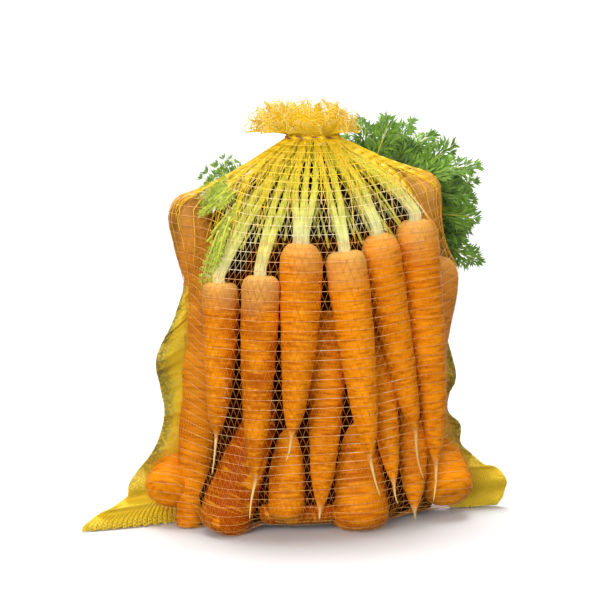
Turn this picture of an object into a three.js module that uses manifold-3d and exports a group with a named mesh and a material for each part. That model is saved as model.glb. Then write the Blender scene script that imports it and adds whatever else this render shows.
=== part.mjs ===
// A filled mesh sack of carrots: a yellow knitted net, tied at the neck, standing on its flat bottom,
// with the carrots' leafy tops hanging out behind the neck. Millimetres, +Z up, the seen side towards
// -Y, and the origin in the middle of the flat base.
import * as THREE from "three";
import { ParametricGeometry } from "three/addons/geometries/ParametricGeometry.js";
import { mergeVertices } from "three/addons/utils/BufferGeometryUtils.js";
import Module from "manifold-3d";

const wasm = await Module();
wasm.setup();

// The filled sack: floor to tie, and its outline in the net as height, half width and half depth.
const TIE_HEIGHT = 333;
const NECK_HALF = [23, 17];
const OUTLINE = [
  [0, 126, 88],
  [14, 136, 97],
  [60, 126, 98],
  [130, 117, 96],
  [210, 117, 94],
  [262, 119, 88],
  [290, 99, 68],
  [312, 66, 46],
  [TIE_HEIGHT, ...NECK_HALF],
];
const SKEW = 0.17; // the sack stands a little askew: its right side is further back than its left

// The core that the carrots are fused to, by how far it lies inside the net.
const CORE_INSET = 21;
const FLOOR_INSET = 34;
const TENT_INSET = [6, 14]; // above the shoulders, where the net is drawn straight to the tie
const LOW_HEIGHT = 45;
const SHOULDER_HEIGHT = 240;
const PLEATS = 16;
const PLEAT_DEPTH = 0.14; // share of the radius at the tie

// Carrots that show in front, as [across, height] of crown and tip, the crown's diameter and how far the
// carrot's own front lies behind the net at crown and tip. A carrot with its crown at the bottom stands on
// its head. The net is drawn from the two at the shoulders straight to the tie.
const FRONT_CARROTS = [
  { crown: [-77, 217], tip: [-81, 89], girth: 31, behind: [0, 0], stalks: 2 },
  { crown: [-43, 224], tip: [-48, 53], girth: 32, behind: [0, 0], stalks: 2 },
  { crown: [-10, 250], tip: [-18, 90], girth: 36, behind: [0, 0], stalks: 3 },
  { crown: [26, 243], tip: [48, 67], girth: 34, behind: [0, 0], stalks: 2 },
  { crown: [54, 255], tip: [88, 84], girth: 34, behind: [6, 4], stalks: 2 },
  { crown: [86, 265], tip: [107, 52], girth: 37, behind: [2, 2], stalks: 2 },
  { crown: [90, 303], tip: [94, 170], girth: 43, behind: [6, 80], stalks: 0, shoulder: true },
  { crown: [-108, 285], tip: [-92, 150], girth: 39, behind: [8, 56], stalks: 0, shoulder: true },
  { crown: [13, 190], tip: [8, 24], girth: 32, behind: [18, 12], stalks: 0 },
  { crown: [52, 190], tip: [69, 42], girth: 27, behind: [20, 12], stalks: 0 },
  { crown: [78, 160], tip: [86, 14], girth: 31, behind: [16, 6], stalks: 0 },
  { crown: [-90, 195], tip: [-111, -45], girth: 38, behind: [14, 8], stalks: 0 },
  { crown: [-128, 26], tip: [-110, 84], girth: 40, behind: [-16, 60], stalks: 0 },
  { crown: [-79, 2], tip: [-33, 124], girth: 44, behind: [5, 20], stalks: 0 },
  { crown: [-20, 20], tip: [-20, 150], girth: 36, behind: [12, 20], stalks: 0 },
  { crown: [42, 0], tip: [30, 140], girth: 52, behind: [6, 20], stalks: 0 },
  { crown: [121, 19], tip: [94, 84], girth: 44, behind: [-8, 52], stalks: 0 },
  { crown: [-94, 228], tip: [-106, 30], girth: 34, behind: [70, 60], stalks: 0 },
  { crown: [112, 226], tip: [98, 50], girth: 38, behind: [6, 50], stalks: 0 },
];
const SIDE_BOW = 0.35; // least share of the half depth, for carrots at the very sides

// Carrots round the sides and back: an upper row hanging by the crown and a lower row standing on its
// head.
const BACK_ARC = [100, 262]; // degrees round from the front
const UPPER_ROW = { count: 8, crown: 246, length: -158, girth: 35, tipInset: 0, stalks: 1, jitter: 18 };
const LOWER_ROW = { count: 7, crown: 3, length: 140, girth: 39, tipInset: 14, stalks: 0, jitter: 0 };
const LENGTH_JITTER = 24;
const GIRTH_JITTER = 8;
const LEAN_JITTER = 12; // degrees round the sack, between crown and tip

// Carrot form: share of the crown's radius at shares of the length, from the crown to the end of the
// thin root.
const CARROT_FORM = [
  [0, 0],
  [0, 0.6],
  [0.06, 1],
  [0.45, 0.87],
  [0.84, 0.54],
  [0.97, 0.16],
  [1.13, 0],
];
const CARROT_SIDES = 8;

// Leaf stalks: radius at the crown and at the tie, and their way from the crown to the tie.
const STALK_RADIUS = [4.2, 2.6];
const STALK_SPREAD = 7; // between the stalks of one carrot
const STALK_ROOT = 5; // depth in the crown
const STALK_RISE = 14; // straight above the crown
const STALK_LIFT = 6; // bow of the stalk, half way to the tie
const STALK_END = 4; // below the tie
const STALK_SIDES = 5;
const STALK_STEPS = 4;

// The net above the tie opens into a pleated frill, a low dome with a shallow dish on top.
const FRILL_HALF_WIDTH = 47;
const FRILL_HALF_DEPTH = 31;
const FRILL_HEIGHT = 30;
const FRILL_DISH = 16; // the frill's middle lies this far above the tie
const FRILL_ROOT = 6; // and its root this far below
const FRILL_LEAN = -7; // it falls a little to the left
const FRILL_FLUTE = 0.08;
const FRILL_RIPPLE = 0.12;
const FRILL_RINGS = [ // shares of the half width and of the height, from the neck out to the rim and over the top
  [0.5, 0],
  [0.82, 0.12],
  [1, 0.32],
  [0.92, 0.62],
  [0.66, 0.95],
  [0.36, 0.8],
];

// Seam flaps: the flat doubled net beyond the filled body, each with points of its free edge from the
// top of the flap down to the corner tail on the floor, and the edge where it leaves the body.
const FLAP_THICKNESS = 4;
const FLAP_TAPER = 12; // how soon the flap reaches its thickness at both ends
const LEFT_FLAP = {
  free: [
    [-108, -16, 214], [-121, -14, 176], [-134, -18, 148], [-134, -12, 124], [-128, -18, 101],
    [-133, -22, 76], [-143, -18, 57], [-158, -26, 38], [-161, -34, 25], [-180, -42, 15],
    [-195, -52, 6], [-197, -56, 1],
  ],
  held: [
    [-104, -16, 214], [-104, -16, 176], [-104, -16, 124], [-106, -14, 76], [-112, -8, 40],
    [-122, -8, 18], [-128, -12, 1],
  ],
};
const RIGHT_FLAP = {
  free: [
    [116, 22, 190], [118, 20, 158], [126, 20, 124], [119, 24, 94], [131, 18, 78], [131, 26, 63],
    [141, 22, 51], [152, 28, 42], [167, 30, 35], [174, 34, 24], [172, 36, 12], [166, 38, 1],
  ],
  held: [
    [108, 22, 190], [102, 22, 140], [101, 22, 100], [103, 22, 65], [110, 22, 40],
    [118, 26, 20], [122, 30, 1],
  ],
};

// Leafy tops behind the sack: a bundle of stalks from the back of the neck to each side, and the fronds
// that leave it in turn, their tips on an ellipse about the spray's middle.
const NECK_BACK = [0, 24, 324];
const RIGHT_SPRAY = {
  end: [102, 90, 246],
  bundle: [7, 12],
  middle: [75, 92, 264],
  spread: [81, 84],
  fan: [122, -50],
  fronds: 14,
  width: 36,
};
const LEFT_SPRAY = {
  end: [-58, 64, 284],
  bundle: [6, 6],
  middle: [-50, 66, 278],
  spread: [48, 36],
  fan: [102, 172],
  fronds: 5,
  width: 17,
};
const FIRST_FROND = 0.42; // share of the bundle's length
const BUNDLE_BOW = [0, 8, 16];
const BUNDLE_SIDES = 7;
const BUNDLE_STEPS = 5;
const FROND_LOBES = 5;
const FROND_NOTCH = 0.42; // width between the lobes, as a share of the width at a lobe
const FROND_SWEEP = 0.5; // lobes point forward
const FROND_CURL = 0.3;
const FROND_ARCH = 0.35;
const FROND_FULLNESS = 0.75; // widest nearer to the point than to the base
const FROND_THICKNESS = 2.6;
const FROND_UNEVEN = 0.12;
const FROND_DEPTH = 60; // the fan's tips spread this far, front to back
const LEAF_GAP = 0.4; // clear of the sack

const NET_YELLOW = new THREE.MeshStandardMaterial({ color: 0xe3b52c, roughness: 0.55, metalness: 0 });
const LEAF_GREEN = new THREE.MeshStandardMaterial({ color: 0x4f7a24, roughness: 0.6, metalness: 0 });

const { lerp, clamp, smoothstep, degToRad } = THREE.MathUtils;
const vector = (p) => new THREE.Vector3(...p);
const curveThrough = (points) => new THREE.CatmullRomCurve3(points.map(vector), false, "centripetal");

// A steady spread of values from -0.5 to 0.5, one for each count and kind.
const GOLDEN_SHARE = 0.618034;
const KIND_SHARE = 0.414214;
const jitter = (count, kind) => ((count * GOLDEN_SHARE + kind * KIND_SHARE) % 1) - 0.5;

// Solids: a closed geometry as a solid that can be joined and cut, and back again.
const MERGE_DISTANCE = 1e-3;
function solidOf(geometry) {
  const bare = geometry.clone().deleteAttribute("normal").deleteAttribute("uv");
  const merged = mergeVertices(bare, MERGE_DISTANCE);
  const triVerts = [];
  for (let i = 0; i < merged.index.count; i += 3) {
    const [a, b, c] = merged.index.array.subarray(i, i + 3);
    if (a !== b && b !== c && c !== a) triVerts.push(a, b, c);
  }
  const vertProperties = merged.attributes.position.array;
  const mesh = new wasm.Mesh({ numProp: 3, vertProperties, triVerts: new Uint32Array(triVerts) });
  return new wasm.Manifold(mesh);
}

function geometryOf(solid) {
  const { vertProperties, triVerts } = solid.getMesh();
  const geometry = new THREE.BufferGeometry();
  geometry.setAttribute("position", new THREE.BufferAttribute(vertProperties, 3));
  geometry.setIndex(new THREE.BufferAttribute(triVerts, 1));
  geometry.computeVertexNormals();
  return geometry;
}

// The largest body of a solid: a hollow that a join sealed is filled and a loose scrap is dropped.
const larger = (one, other) => (other.volume() > one.volume() ? other : one);
const largest = (solid) => solid.decompose().reduce(larger);
const fuse = (geometries, solids = []) => largest(wasm.Manifold.union([...geometries.map(solidOf), ...solids]));

// A finished solid without the slivers that cuts leave.
const SLIVER = 0.05;
const finished = (solid) => largest(solid).simplify(SLIVER);

// Half width and half depth of the sack in its net at a height.
function halfSizes(height) {
  const z = clamp(height, 0, TIE_HEIGHT);
  const upper = Math.max(1, OUTLINE.findIndex(([top]) => z <= top));
  const [z0, width0, depth0] = OUTLINE[upper - 1];
  const [z1, width1, depth1] = OUTLINE[upper];
  const share = (z - z0) / (z1 - z0);
  return [lerp(width0, width1, share), lerp(depth0, depth1, share)];
}

// A point at a place across and a height, so far in from the front of the net.
function behindFront(across, height, inward) {
  const [halfWidth, halfDepth] = halfSizes(height);
  const bow = Math.sqrt(Math.max(SIDE_BOW ** 2, 1 - (across / halfWidth) ** 2));
  return new THREE.Vector3(across, -halfDepth * bow + inward + SKEW * across, height);
}

// A point at an angle round from the front and a height, so far in from the net.
function insideNet(angle, height, inward) {
  const [halfWidth, halfDepth] = halfSizes(height);
  const x = (halfWidth - inward) * Math.sin(angle);
  return new THREE.Vector3(x, -(halfDepth - inward) * Math.cos(angle) + SKEW * x, height);
}

// The core: the sack's own form, smaller than its net, flat below and pleated where it is gathered to
// the tie.
const CORE_COLUMNS = PLEATS * 3;
const CORE_ROWS = 13;
function coreGeometry(grow) {
  const steps = CORE_ROWS - 2;
  return new ParametricGeometry((u, v, target) => {
    const row = Math.round(v * CORE_ROWS);
    const height = (TIE_HEIGHT * clamp(row - 1, 0, steps)) / steps;
    const gathered = smoothstep(height, SHOULDER_HEIGHT, TIE_HEIGHT);
    const lowInset = lerp(FLOOR_INSET, CORE_INSET, smoothstep(height, 0, LOW_HEIGHT));
    const [insetX, insetY] = TENT_INSET.map((most) => lerp(lowInset, most * Math.sin(Math.PI * gathered), gathered));
    const angle = 2 * Math.PI * u;
    const pleat = 1 + PLEAT_DEPTH * gathered ** 2 * Math.cos(PLEATS * angle);
    const scale = row % CORE_ROWS ? pleat : 0;
    const [halfWidth, halfDepth] = halfSizes(height);
    const x = (halfWidth - insetX + grow) * scale * Math.cos(angle);
    const y = (halfDepth - insetY + grow) * scale * Math.sin(angle);
    target.set(x, y + SKEW * x, height);
  }, CORE_COLUMNS, CORE_ROWS);
}

// A carrot from crown to tip as a turned body.
function carrotGeometry({ crown, tip, girth }, grow) {
  const length = crown.distanceTo(tip);
  const radius = (share) => (share ? (share * girth) / 2 + grow : 0);
  const profile = CARROT_FORM.map(([along, share]) => new THREE.Vector2(radius(share), -along * length));
  const rise = crown.clone().sub(tip).normalize();
  const stand = new THREE.Quaternion().setFromUnitVectors(new THREE.Vector3(0, 1, 0), rise);
  return new THREE.LatheGeometry(profile.reverse(), CARROT_SIDES).applyQuaternion(stand).translate(...crown);
}

function frontCarrots() {
  return FRONT_CARROTS.map(({ crown, tip, girth, behind, stalks, shoulder }) => ({
    crown: behindFront(...crown, girth / 2 + behind[0]),
    tip: behindFront(...tip, girth / 3 + behind[1]),
    girth,
    stalks,
    shoulder,
  }));
}

// The net drawn from the domed end of a carrot at the shoulder to the tie.
const DOME_SIDES = 16;
const NECK_LENGTH = 2;
function drawnNet({ crown, tip, girth }, grow) {
  const middle = crown.clone().lerp(tip, girth / 2 / crown.distanceTo(tip));
  const dome = wasm.Manifold.sphere(girth / 2 + grow, DOME_SIDES).translate(middle.toArray());
  const size = [NECK_HALF[0] + grow, NECK_HALF[1] + grow, NECK_LENGTH];
  const neck = wasm.Manifold.cylinder(1, 1, 1, DOME_SIDES).scale(size).translate([0, 0, TIE_HEIGHT - NECK_LENGTH]);
  return wasm.Manifold.hull([dome, neck]);
}

// The rows round the sides and back, by a steady spread of heights, lengths and girths.
function rowCarrots(row, tier) {
  const [from, to] = BACK_ARC.map(degToRad);
  return Array.from({ length: row.count }, (_, k) => {
    const angle = lerp(from, to, (k + 0.5) / row.count);
    const girth = row.girth + GIRTH_JITTER * jitter(k, tier);
    const length = row.length + LENGTH_JITTER * jitter(k, tier + 2);
    const height = row.crown + row.jitter * jitter(k, tier + 4);
    const lean = degToRad(LEAN_JITTER * jitter(k, tier + 6));
    return {
      crown: insideNet(angle, height, girth / 2),
      tip: insideNet(angle + lean, height + length, girth / 2 + row.tipInset),
      girth,
      stalks: row.stalks,
    };
  });
}

// A round bar along a curve, from one radius to another.
function taperedBar(curve, [startRadius, endRadius], sides, steps) {
  const { normals, binormals } = curve.computeFrenetFrames(steps, false);
  const rows = steps + 2;
  return new ParametricGeometry((u, v, target) => {
    const row = Math.round(v * rows);
    const step = clamp(row - 1, 0, steps);
    const radius = row % rows ? lerp(startRadius, endRadius, step / steps) : 0;
    const angle = 2 * Math.PI * u;
    target.copy(curve.getPointAt(step / steps));
    target.addScaledVector(normals[step], radius * Math.cos(angle));
    target.addScaledVector(binormals[step], radius * Math.sin(angle));
  }, sides, rows);
}

// Leaf stalks from a crown up under the net to the tie.
function stalkGeometries({ crown, tip, stalks }, grow) {
  const up = crown.clone().sub(tip).normalize();
  return Array.from({ length: stalks }, (_, k) => {
    const aside = (k - (stalks - 1) / 2) * STALK_SPREAD;
    const root = crown.clone().addScaledVector(up, -STALK_ROOT);
    const rise = crown.clone().addScaledVector(up, STALK_RISE);
    rise.x += aside;
    const angle = Math.atan2(rise.x + aside, SKEW * rise.x - rise.y);
    const end = insideNet(angle, TIE_HEIGHT - STALK_END, NECK_HALF[1] / 2);
    const bend = rise.clone().lerp(end, 0.5);
    bend.z += STALK_LIFT;
    const path = new THREE.CatmullRomCurve3([root, rise, bend, end], false, "centripetal");
    return taperedBar(path, STALK_RADIUS.map((radius) => radius + grow), STALK_SIDES, STALK_STEPS);
  });
}

// The frill above the tie: out from the neck to a fluted rim, and over the top to a shallow dish.
const FRILL_COLUMNS = PLEATS * 3;
function frillGeometry() {
  const neck = FRILL_RINGS[0][0];
  const rings = [[0, 0, -FRILL_ROOT], [neck, 0, -FRILL_ROOT], ...FRILL_RINGS, [0, 0, FRILL_DISH]];
  return new ParametricGeometry((u, v, target) => {
    const [out, up, lift = 0] = rings[Math.round(v * (rings.length - 1))];
    const angle = 2 * Math.PI * u;
    const flute = 1 + FRILL_FLUTE * out * Math.cos(PLEATS * angle);
    const ripple = 1 + FRILL_RIPPLE * out * Math.sin(PLEATS * angle + 3 * Math.cos(angle));
    const x = FRILL_HALF_WIDTH * out * flute * Math.cos(angle);
    const y = FRILL_HALF_DEPTH * out * flute * Math.sin(angle);
    target.set(x + (up && FRILL_LEAN), y, TIE_HEIGHT + lift + FRILL_HEIGHT * up * ripple);
  }, FRILL_COLUMNS, rings.length - 1);
}

// A seam flap: a thin closed sheet between the edge on the body and the free edge.
const FLAP_ACROSS = 6;
const FLAP_ALONG = 24;
function flapGeometry({ free, held }) {
  const freeEdge = curveThrough(free);
  const heldEdge = curveThrough(held);
  return new ParametricGeometry((u, v, target) => {
    const out = 1 - Math.abs(2 * u - 1);
    const side = Math.sign(u - 0.5);
    const bulge = Math.sqrt(out * (1 - out)) * Math.min(1, FLAP_TAPER * v * (1 - v));
    target.lerpVectors(heldEdge.getPoint(v), freeEdge.getPoint(v), out);
    target.y += side * bulge * FLAP_THICKNESS;
  }, FLAP_ACROSS, FLAP_ALONG);
}

// The whole filled sack, cut flat at the floor.
const FLOOR_SIZE = 600;
const FLOOR_DEPTH = 80;
function sackSolid(grow = 0) {
  const carrots = [...frontCarrots(), ...[UPPER_ROW, LOWER_ROW].flatMap(rowCarrots)];
  const pieces = [
    coreGeometry(grow),
    ...carrots.map((carrot) => carrotGeometry(carrot, grow)),
    ...carrots.flatMap((carrot) => stalkGeometries(carrot, grow)),
    frillGeometry(),
    flapGeometry(LEFT_FLAP),
    flapGeometry(RIGHT_FLAP),
  ];
  const drawn = carrots.filter(({ shoulder }) => shoulder).map((carrot) => drawnNet(carrot, grow));
  const floor = new THREE.BoxGeometry(FLOOR_SIZE, FLOOR_SIZE, FLOOR_DEPTH);
  floor.translate(0, 0, -FLOOR_DEPTH / 2);
  return finished(fuse(pieces, drawn).subtract(solidOf(floor)));
}

// A frond: a thin wavy blade, lobed along both sides, from its stalk to its point.
const FROND_SIDES = 4;
const FROND_ROWS = 2 * FROND_LOBES + 2;
function frondGeometry(base, tip, width) {
  const along = tip.clone().sub(base).normalize();
  const across = new THREE.Vector3(0, 1, 0).cross(along).normalize();
  const arch = base.clone().lerp(tip, 0.5);
  arch.z += width * FROND_ARCH;
  const spine = new THREE.QuadraticBezierCurve3(base, arch, tip);
  return new ParametricGeometry((u, v, target) => {
    const lobed = Math.round(v * FROND_ROWS) % 2;
    const wing = Math.cos(2 * Math.PI * u);
    const face = Math.sin(2 * Math.PI * u);
    const reach = (width / 2) * Math.sin(Math.PI * v ** FROND_FULLNESS) * (lobed ? 1 : FROND_NOTCH);
    target.copy(spine.getPoint(v));
    target.addScaledVector(across, reach * wing);
    target.addScaledVector(along, lobed * FROND_SWEEP * reach * Math.abs(wing));
    target.y += (FROND_THICKNESS / 2) * face * Math.sin(Math.PI * v) + FROND_CURL * reach * wing;
  }, FROND_SIDES, FROND_ROWS);
}

// A spray: its bundle of stalks from the back of the neck and its fan of fronds.
function sprayGeometries({ end, bundle, middle, spread, fan, fronds, width }) {
  const start = vector(NECK_BACK);
  const bow = start.clone().lerp(vector(end), 0.5).add(vector(BUNDLE_BOW));
  const curve = new THREE.QuadraticBezierCurve3(start, bow, vector(end));
  const blades = Array.from({ length: fronds }, (_, k) => {
    const turn = k / (fronds - 1);
    const angle = degToRad(lerp(...fan, turn));
    const stretch = 1 + FROND_UNEVEN * jitter(k, 1);
    const tip = vector(middle);
    tip.x += stretch * spread[0] * Math.cos(angle);
    tip.y += FROND_DEPTH * jitter(k, 2);
    tip.z += stretch * spread[1] * Math.sin(angle);
    return frondGeometry(curve.getPoint(lerp(FIRST_FROND, 1, turn)), tip, width * stretch);
  });
  return [taperedBar(curve, bundle, BUNDLE_SIDES, BUNDLE_STEPS), ...blades];
}

function meshOf(solid, material, name) {
  const mesh = new THREE.Mesh(geometryOf(solid), material);
  mesh.name = name;
  return mesh;
}

function sackOfCarrots() {
  const greens = fuse([RIGHT_SPRAY, LEFT_SPRAY].flatMap(sprayGeometries));
  const group = new THREE.Group();
  group.add(meshOf(sackSolid(), NET_YELLOW, "net_sack"));
  group.add(meshOf(finished(greens.subtract(sackSolid(LEAF_GAP))), LEAF_GREEN, "carrot_greens"));
  return group;
}

export default sackOfCarrots();
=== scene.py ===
"""Net sack of carrots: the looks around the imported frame.

Laid out as an add-on and run as a script: one operator for each group of like pieces and one for the stage,
and one panel that lists them. Lengths are in metres; tables are written in millimetres and scaled by MM.
"""
import math
from types import SimpleNamespace

import bpy
import numpy as np
from bpy.props import FloatProperty, FloatVectorProperty, IntProperty, PointerProperty
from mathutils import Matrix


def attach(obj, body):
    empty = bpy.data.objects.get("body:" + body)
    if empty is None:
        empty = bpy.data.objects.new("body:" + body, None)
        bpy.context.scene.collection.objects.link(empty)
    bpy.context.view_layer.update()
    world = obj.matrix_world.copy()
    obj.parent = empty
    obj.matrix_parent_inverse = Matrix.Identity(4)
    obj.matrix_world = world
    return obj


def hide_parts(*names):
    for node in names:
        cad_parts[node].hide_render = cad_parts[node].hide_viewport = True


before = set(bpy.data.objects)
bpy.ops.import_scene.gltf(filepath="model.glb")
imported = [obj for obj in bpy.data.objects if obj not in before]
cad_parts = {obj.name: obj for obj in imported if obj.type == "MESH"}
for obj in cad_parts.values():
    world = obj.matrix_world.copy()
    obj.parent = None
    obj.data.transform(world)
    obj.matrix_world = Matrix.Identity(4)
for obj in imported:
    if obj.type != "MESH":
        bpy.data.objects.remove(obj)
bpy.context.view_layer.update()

bl_info = {
    "name": "Net sack of carrots",
    "version": (1, 0, 0),
    "blender": (4, 5, 0),
    "location": "3D View > Sidebar > Carrot sack",
    "description": "A knitted net sack, tied at the neck and filled with carrots on their leaf stalks",
    "category": "Object",
}

MM = 0.001
FULL_TURN = 2 * math.pi


def linear(hex_colour):
    """An sRGB hex colour as linear red, green and blue."""
    shares = [int(hex_colour[i:i + 2], 16) / 255 for i in (1, 3, 5)]
    return tuple(s / 12.92 if s <= 0.04045 else ((s + 0.055) / 1.055) ** 2.4 for s in shares)


def length_property(name, length, description):
    """A length that a user may change."""
    return FloatProperty(name=name, description=description, default=length, unit="LENGTH")


def colour_property(name, hex_colour, description):
    """A colour that a user may change."""
    return FloatVectorProperty(
        name=name, description=description, subtype="COLOR", size=3, min=0, max=1, default=linear(hex_colour))


class SackSizes(bpy.types.PropertyGroup):
    """Sizes of the net, its tie and the leaves."""

    net_rows: IntProperty(
        name="Net rows", description="Knitted rows from under the sack to the tie", default=48, min=8)
    net_columns: IntProperty(
        name="Net columns", description="Knitted columns round the sack", default=116, min=12)
    weft_width: length_property("Weft width", 0.46 * MM, "Width of the yarn that runs round")
    lace_width: length_property("Lace width", 0.26 * MM, "Width of the zigzag yarns")
    net_gap: length_property("Net gap", 0.3 * MM, "Room between the filling and the net")
    tie_width: length_property("Tie width", 1.8 * MM, "Thickness of the cord at the neck")
    leaflet_length: length_property("Leaflet length", 12 * MM, "Length of the smallest leaf part")


class SackColours(bpy.types.PropertyGroup):
    """Colours of the net, the carrots and their leaves."""

    # Paler than the yarn, with a painted highlight.
    yarn_single: colour_property("Single yarn", "#F7E8BC", "Yarn that hangs free over a gap")
    # The carrot's orange painted through the yarn.
    yarn_painted_through: colour_property("Lying yarn", "#EE921A", "Yarn that lies on a carrot and takes its colour")
    # The deeper yellow of painted light through many gathered layers.
    yarn_dense: colour_property("Gathered yarn", "#FFD822", "Yarn that lies many layers deep")
    yarn_shaded: colour_property("Shaded yarn", "#A09036", "Outer edge of a folded seam")
    # Dark with painted shade of the crease where the tie draws the neck in.
    tie: colour_property("Tie cord", "#8A4A10", "Cord at the neck")
    carrot: colour_property("Carrot", "#F6950A", "Carrot skin in the light")
    carrot_pale: colour_property("Carrot, pale", "#FFAE28", "Paler rings of carrot skin")
    # Darker rings and patches, and painted shade on the lowest carrots.
    carrot_deep_and_shaded: colour_property("Carrot, deep", "#AE4A04", "Darker rings and patches of carrot skin")
    crown: colour_property("Crown", "#DAAE62", "Dusty skin round the crown")
    # Brown, partly painted shade on the left dome.
    crown_brown_and_shaded: colour_property("Soiled crown", "#92622A", "Browner skin of the carrots at the shoulders")
    root: colour_property("Root", "#F2CF86", "Thin root at the tip")
    stalk_foot: colour_property("Stalk foot", "#F4F2B8", "Pale foot of the leaf stalks")
    stalk: colour_property("Stalk", "#E6E84E", "Leaf stalks under the net")
    leaf: colour_property("Leaf", "#80AC32", "Leaflets in the light")
    # Darker leaflets, and painted shade deep in the fans.
    leaf_deep_and_shaded: colour_property("Leaf, deep", "#1E480B", "Older, darker leaflets")
    leaf_young: colour_property("Leaf, young", "#93AE30", "Thin leaflets inside the net")
    filling: colour_property("Filling", "#3C1407", "Shade between the carrots")
    filling_top: colour_property("Filling, top", "#2A2410", "Shade between the leaf stalks")


# The sack's form, as in the part's source: the outline has a height, half width and half depth in each row.
TIE_HEIGHT = 333 * MM
SHOULDER_HEIGHT = 262 * MM
NECK_HALF = (23 * MM, 17 * MM)
SKEW = 0.17
OUTLINE = MM * np.array((
    (0, 126, 88), (14, 136, 97), (60, 126, 98), (130, 117, 96), (210, 117, 94),
    (262, 119, 88), (290, 99, 68), (312, 66, 46), (333, 23, 17),
))
SIDE_BOW = 0.35  # the least share of its depth that the front keeps towards its sides

# Front carrots: crown x, z; tip x, z; end of the root x, z; girth; depth of crown and tip behind the net;
# stalks; how round the shoulders are, from 0, square, through 1 to 2, a dome; dirt, partly painted shade on
# the left dome; and depth of colour, partly painted shade, and wholly so where it is 8 on two low carrots.
FRONT_CARROTS = (
    (-77, 217, -81, 89, -85, 55, 31, 0, 0, 2, 0.35, 0, 0.9),
    (-43, 224, -48, 53, -53, 19, 32, 0, 0, 2, 0.35, 0, 0.9),
    (-10, 250, -18, 90, -23, 69, 36, 0, 0, 3, 0.8, 0, 0.35),
    (26, 243, 48, 67, 57, 34, 34, 0, 0, 2, 0.4, 0, 0),
    (54, 255, 88, 84, 96, 41, 34, 6, 4, 2, 0.9, 0, 0.2),
    (86, 265, 107, 52, 104, 20, 37, 2, 2, 2, 0.7, 0, 0.45),
    (90, 303, 94, 170, 94, 164, 43, 6, 80, 0, 2.0, 0.3, 0.4),
    (-108, 285, -80, 160, -79, 154, 39, 8, 56, 0, 2.0, 1.0, 0.6),
    (13, 190, 6, 24, 5, 16, 34, 36, 12, 0, 0.5, 0, 0.5),
    (52, 190, 69, 42, 73, 23, 30, 36, 8, 0, 0.5, 0, 0.1),
    (78, 160, 88, 14, 88, 1, 37, 36, 6, 0, 0.5, 0, 0.5),
    (-90, 195, -111, -45, -112, -46, 38, 34, 8, 0, 0.5, 0, 0.6),
    (-128, 26, -110, 84, -108, 88, 40, -16, 80, 0, 1.0, 0, 0.2),
    (-79, 2, -33, 124, -31, 128, 44, 5, 36, 0, 0.7, 0, 8),
    (-23, 14, -21, 150, -21, 155, 31, 12, 50, 0, 0.7, 0, 0.7),
    (42, 0, 30, 140, 29, 150, 52, 6, 56, 0, 0.8, 0, 0.8),
    (121, 19, 102, 84, 100, 88, 44, -8, 80, 0, 1.0, 0, 0.2),
    (-98, 3, -70, 126, -68, 130, 38, 36, 64, 0, 0.6, 0, 0.7),
    (-94, 228, -106, 30, -107, 24, 34, 50, 50, 0, 0.5, 0, 0.7),
    (109, 230, 82, 50, 82, 44, 44, 6, 50, 0, 1.4, 0.05, 0),
    (-46, 19, 44, 18, 48, 18, 24, 22, 26, 0, 0.6, 0, 8),
    (84, 4, 66, 130, 65, 134, 34, 44, 62, 0, 0.6, 0, 0.8),
)
TIP_INSET = 1 / 3  # how far in a front carrot's tip lies, as a share of its girth
BACK_ARC = (100, 262)
# Rows at the back: count, height of the crowns, length, girth, tip's inset, stalks, unevenness in height.
BACK_ROWS = ((8, 246, -158, 35, 0, 1, 18), (7, 3, 140, 39, 14, 0, 0))
BACK_ROOT = 0.12  # length of a back carrot's root, as a share of the carrot's
GIRTH_JITTER = 8
LENGTH_JITTER = 24
LEAN_JITTER = 12
GOLDEN_SHARE = 0.618034
KIND_SHARE = 0.414214
TINY = 1e-9


def jitter(count, kind):
    """A steady spread of values from -0.5 to 0.5, one for each count and kind."""
    return (count * GOLDEN_SHARE + kind * KIND_SHARE) % 1 - 0.5


def unit(vectors):
    """The same directions with length 1."""
    return vectors / np.maximum(np.linalg.norm(vectors, axis=-1, keepdims=True), TINY)


def lerp(start, end, share):
    """A value that share of the way from start to end."""
    return start + (end - start) * share


def smoothstep(value, low, high):
    """0 below low, 1 above high, and a soft step between them."""
    share = np.clip((value - low) / (high - low), 0, 1)
    return share * share * (3 - 2 * share)


def wander(turn, *waves):
    """A line that strays to and fro: the sum of waves, each with a size, a count to a turn and a phase."""
    return sum(size * np.sin(FULL_TURN * count * turn + phase) for size, count, phase in waves)


def smooth_path(points, count):
    """Points along a smooth line through the given ones."""
    points = np.asarray(points, float)
    ends = np.vstack((2 * points[0] - points[1], points, 2 * points[-1] - points[-2]))
    place = np.linspace(0, len(points) - 1, count)
    first = np.minimum(place.astype(int), len(points) - 2)
    share = (place - first)[:, None]
    before, start, end, after = (ends[first + k] for k in range(4))
    bend = 2 * before - 5 * start + 4 * end - after
    turn = 3 * start - before - 3 * end + after
    return 0.5 * (2 * start + (end - before) * share + bend * share ** 2 + turn * share ** 3)


def half_sizes(height):
    """Half width and half depth of the sack in its net at a height."""
    return np.interp(height, OUTLINE[:, 0], OUTLINE[:, 1]), np.interp(height, OUTLINE[:, 0], OUTLINE[:, 2])


def behind_front(across, height, inward):
    """A point at a place across and a height, so far in from the front of the net."""
    half_width, half_depth = half_sizes(height)
    bow = math.sqrt(max(SIDE_BOW ** 2, 1 - (across / half_width) ** 2))
    return np.array((across, -half_depth * bow + inward + SKEW * across, height))


def inside_net(angle, height, inward):
    """A point at an angle round from the front and a height, so far in from the net."""
    half_width, half_depth = half_sizes(height)
    x = (half_width - inward) * math.sin(angle)
    return np.array((x, -(half_depth - inward) * math.cos(angle) + SKEW * x, height))


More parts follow.
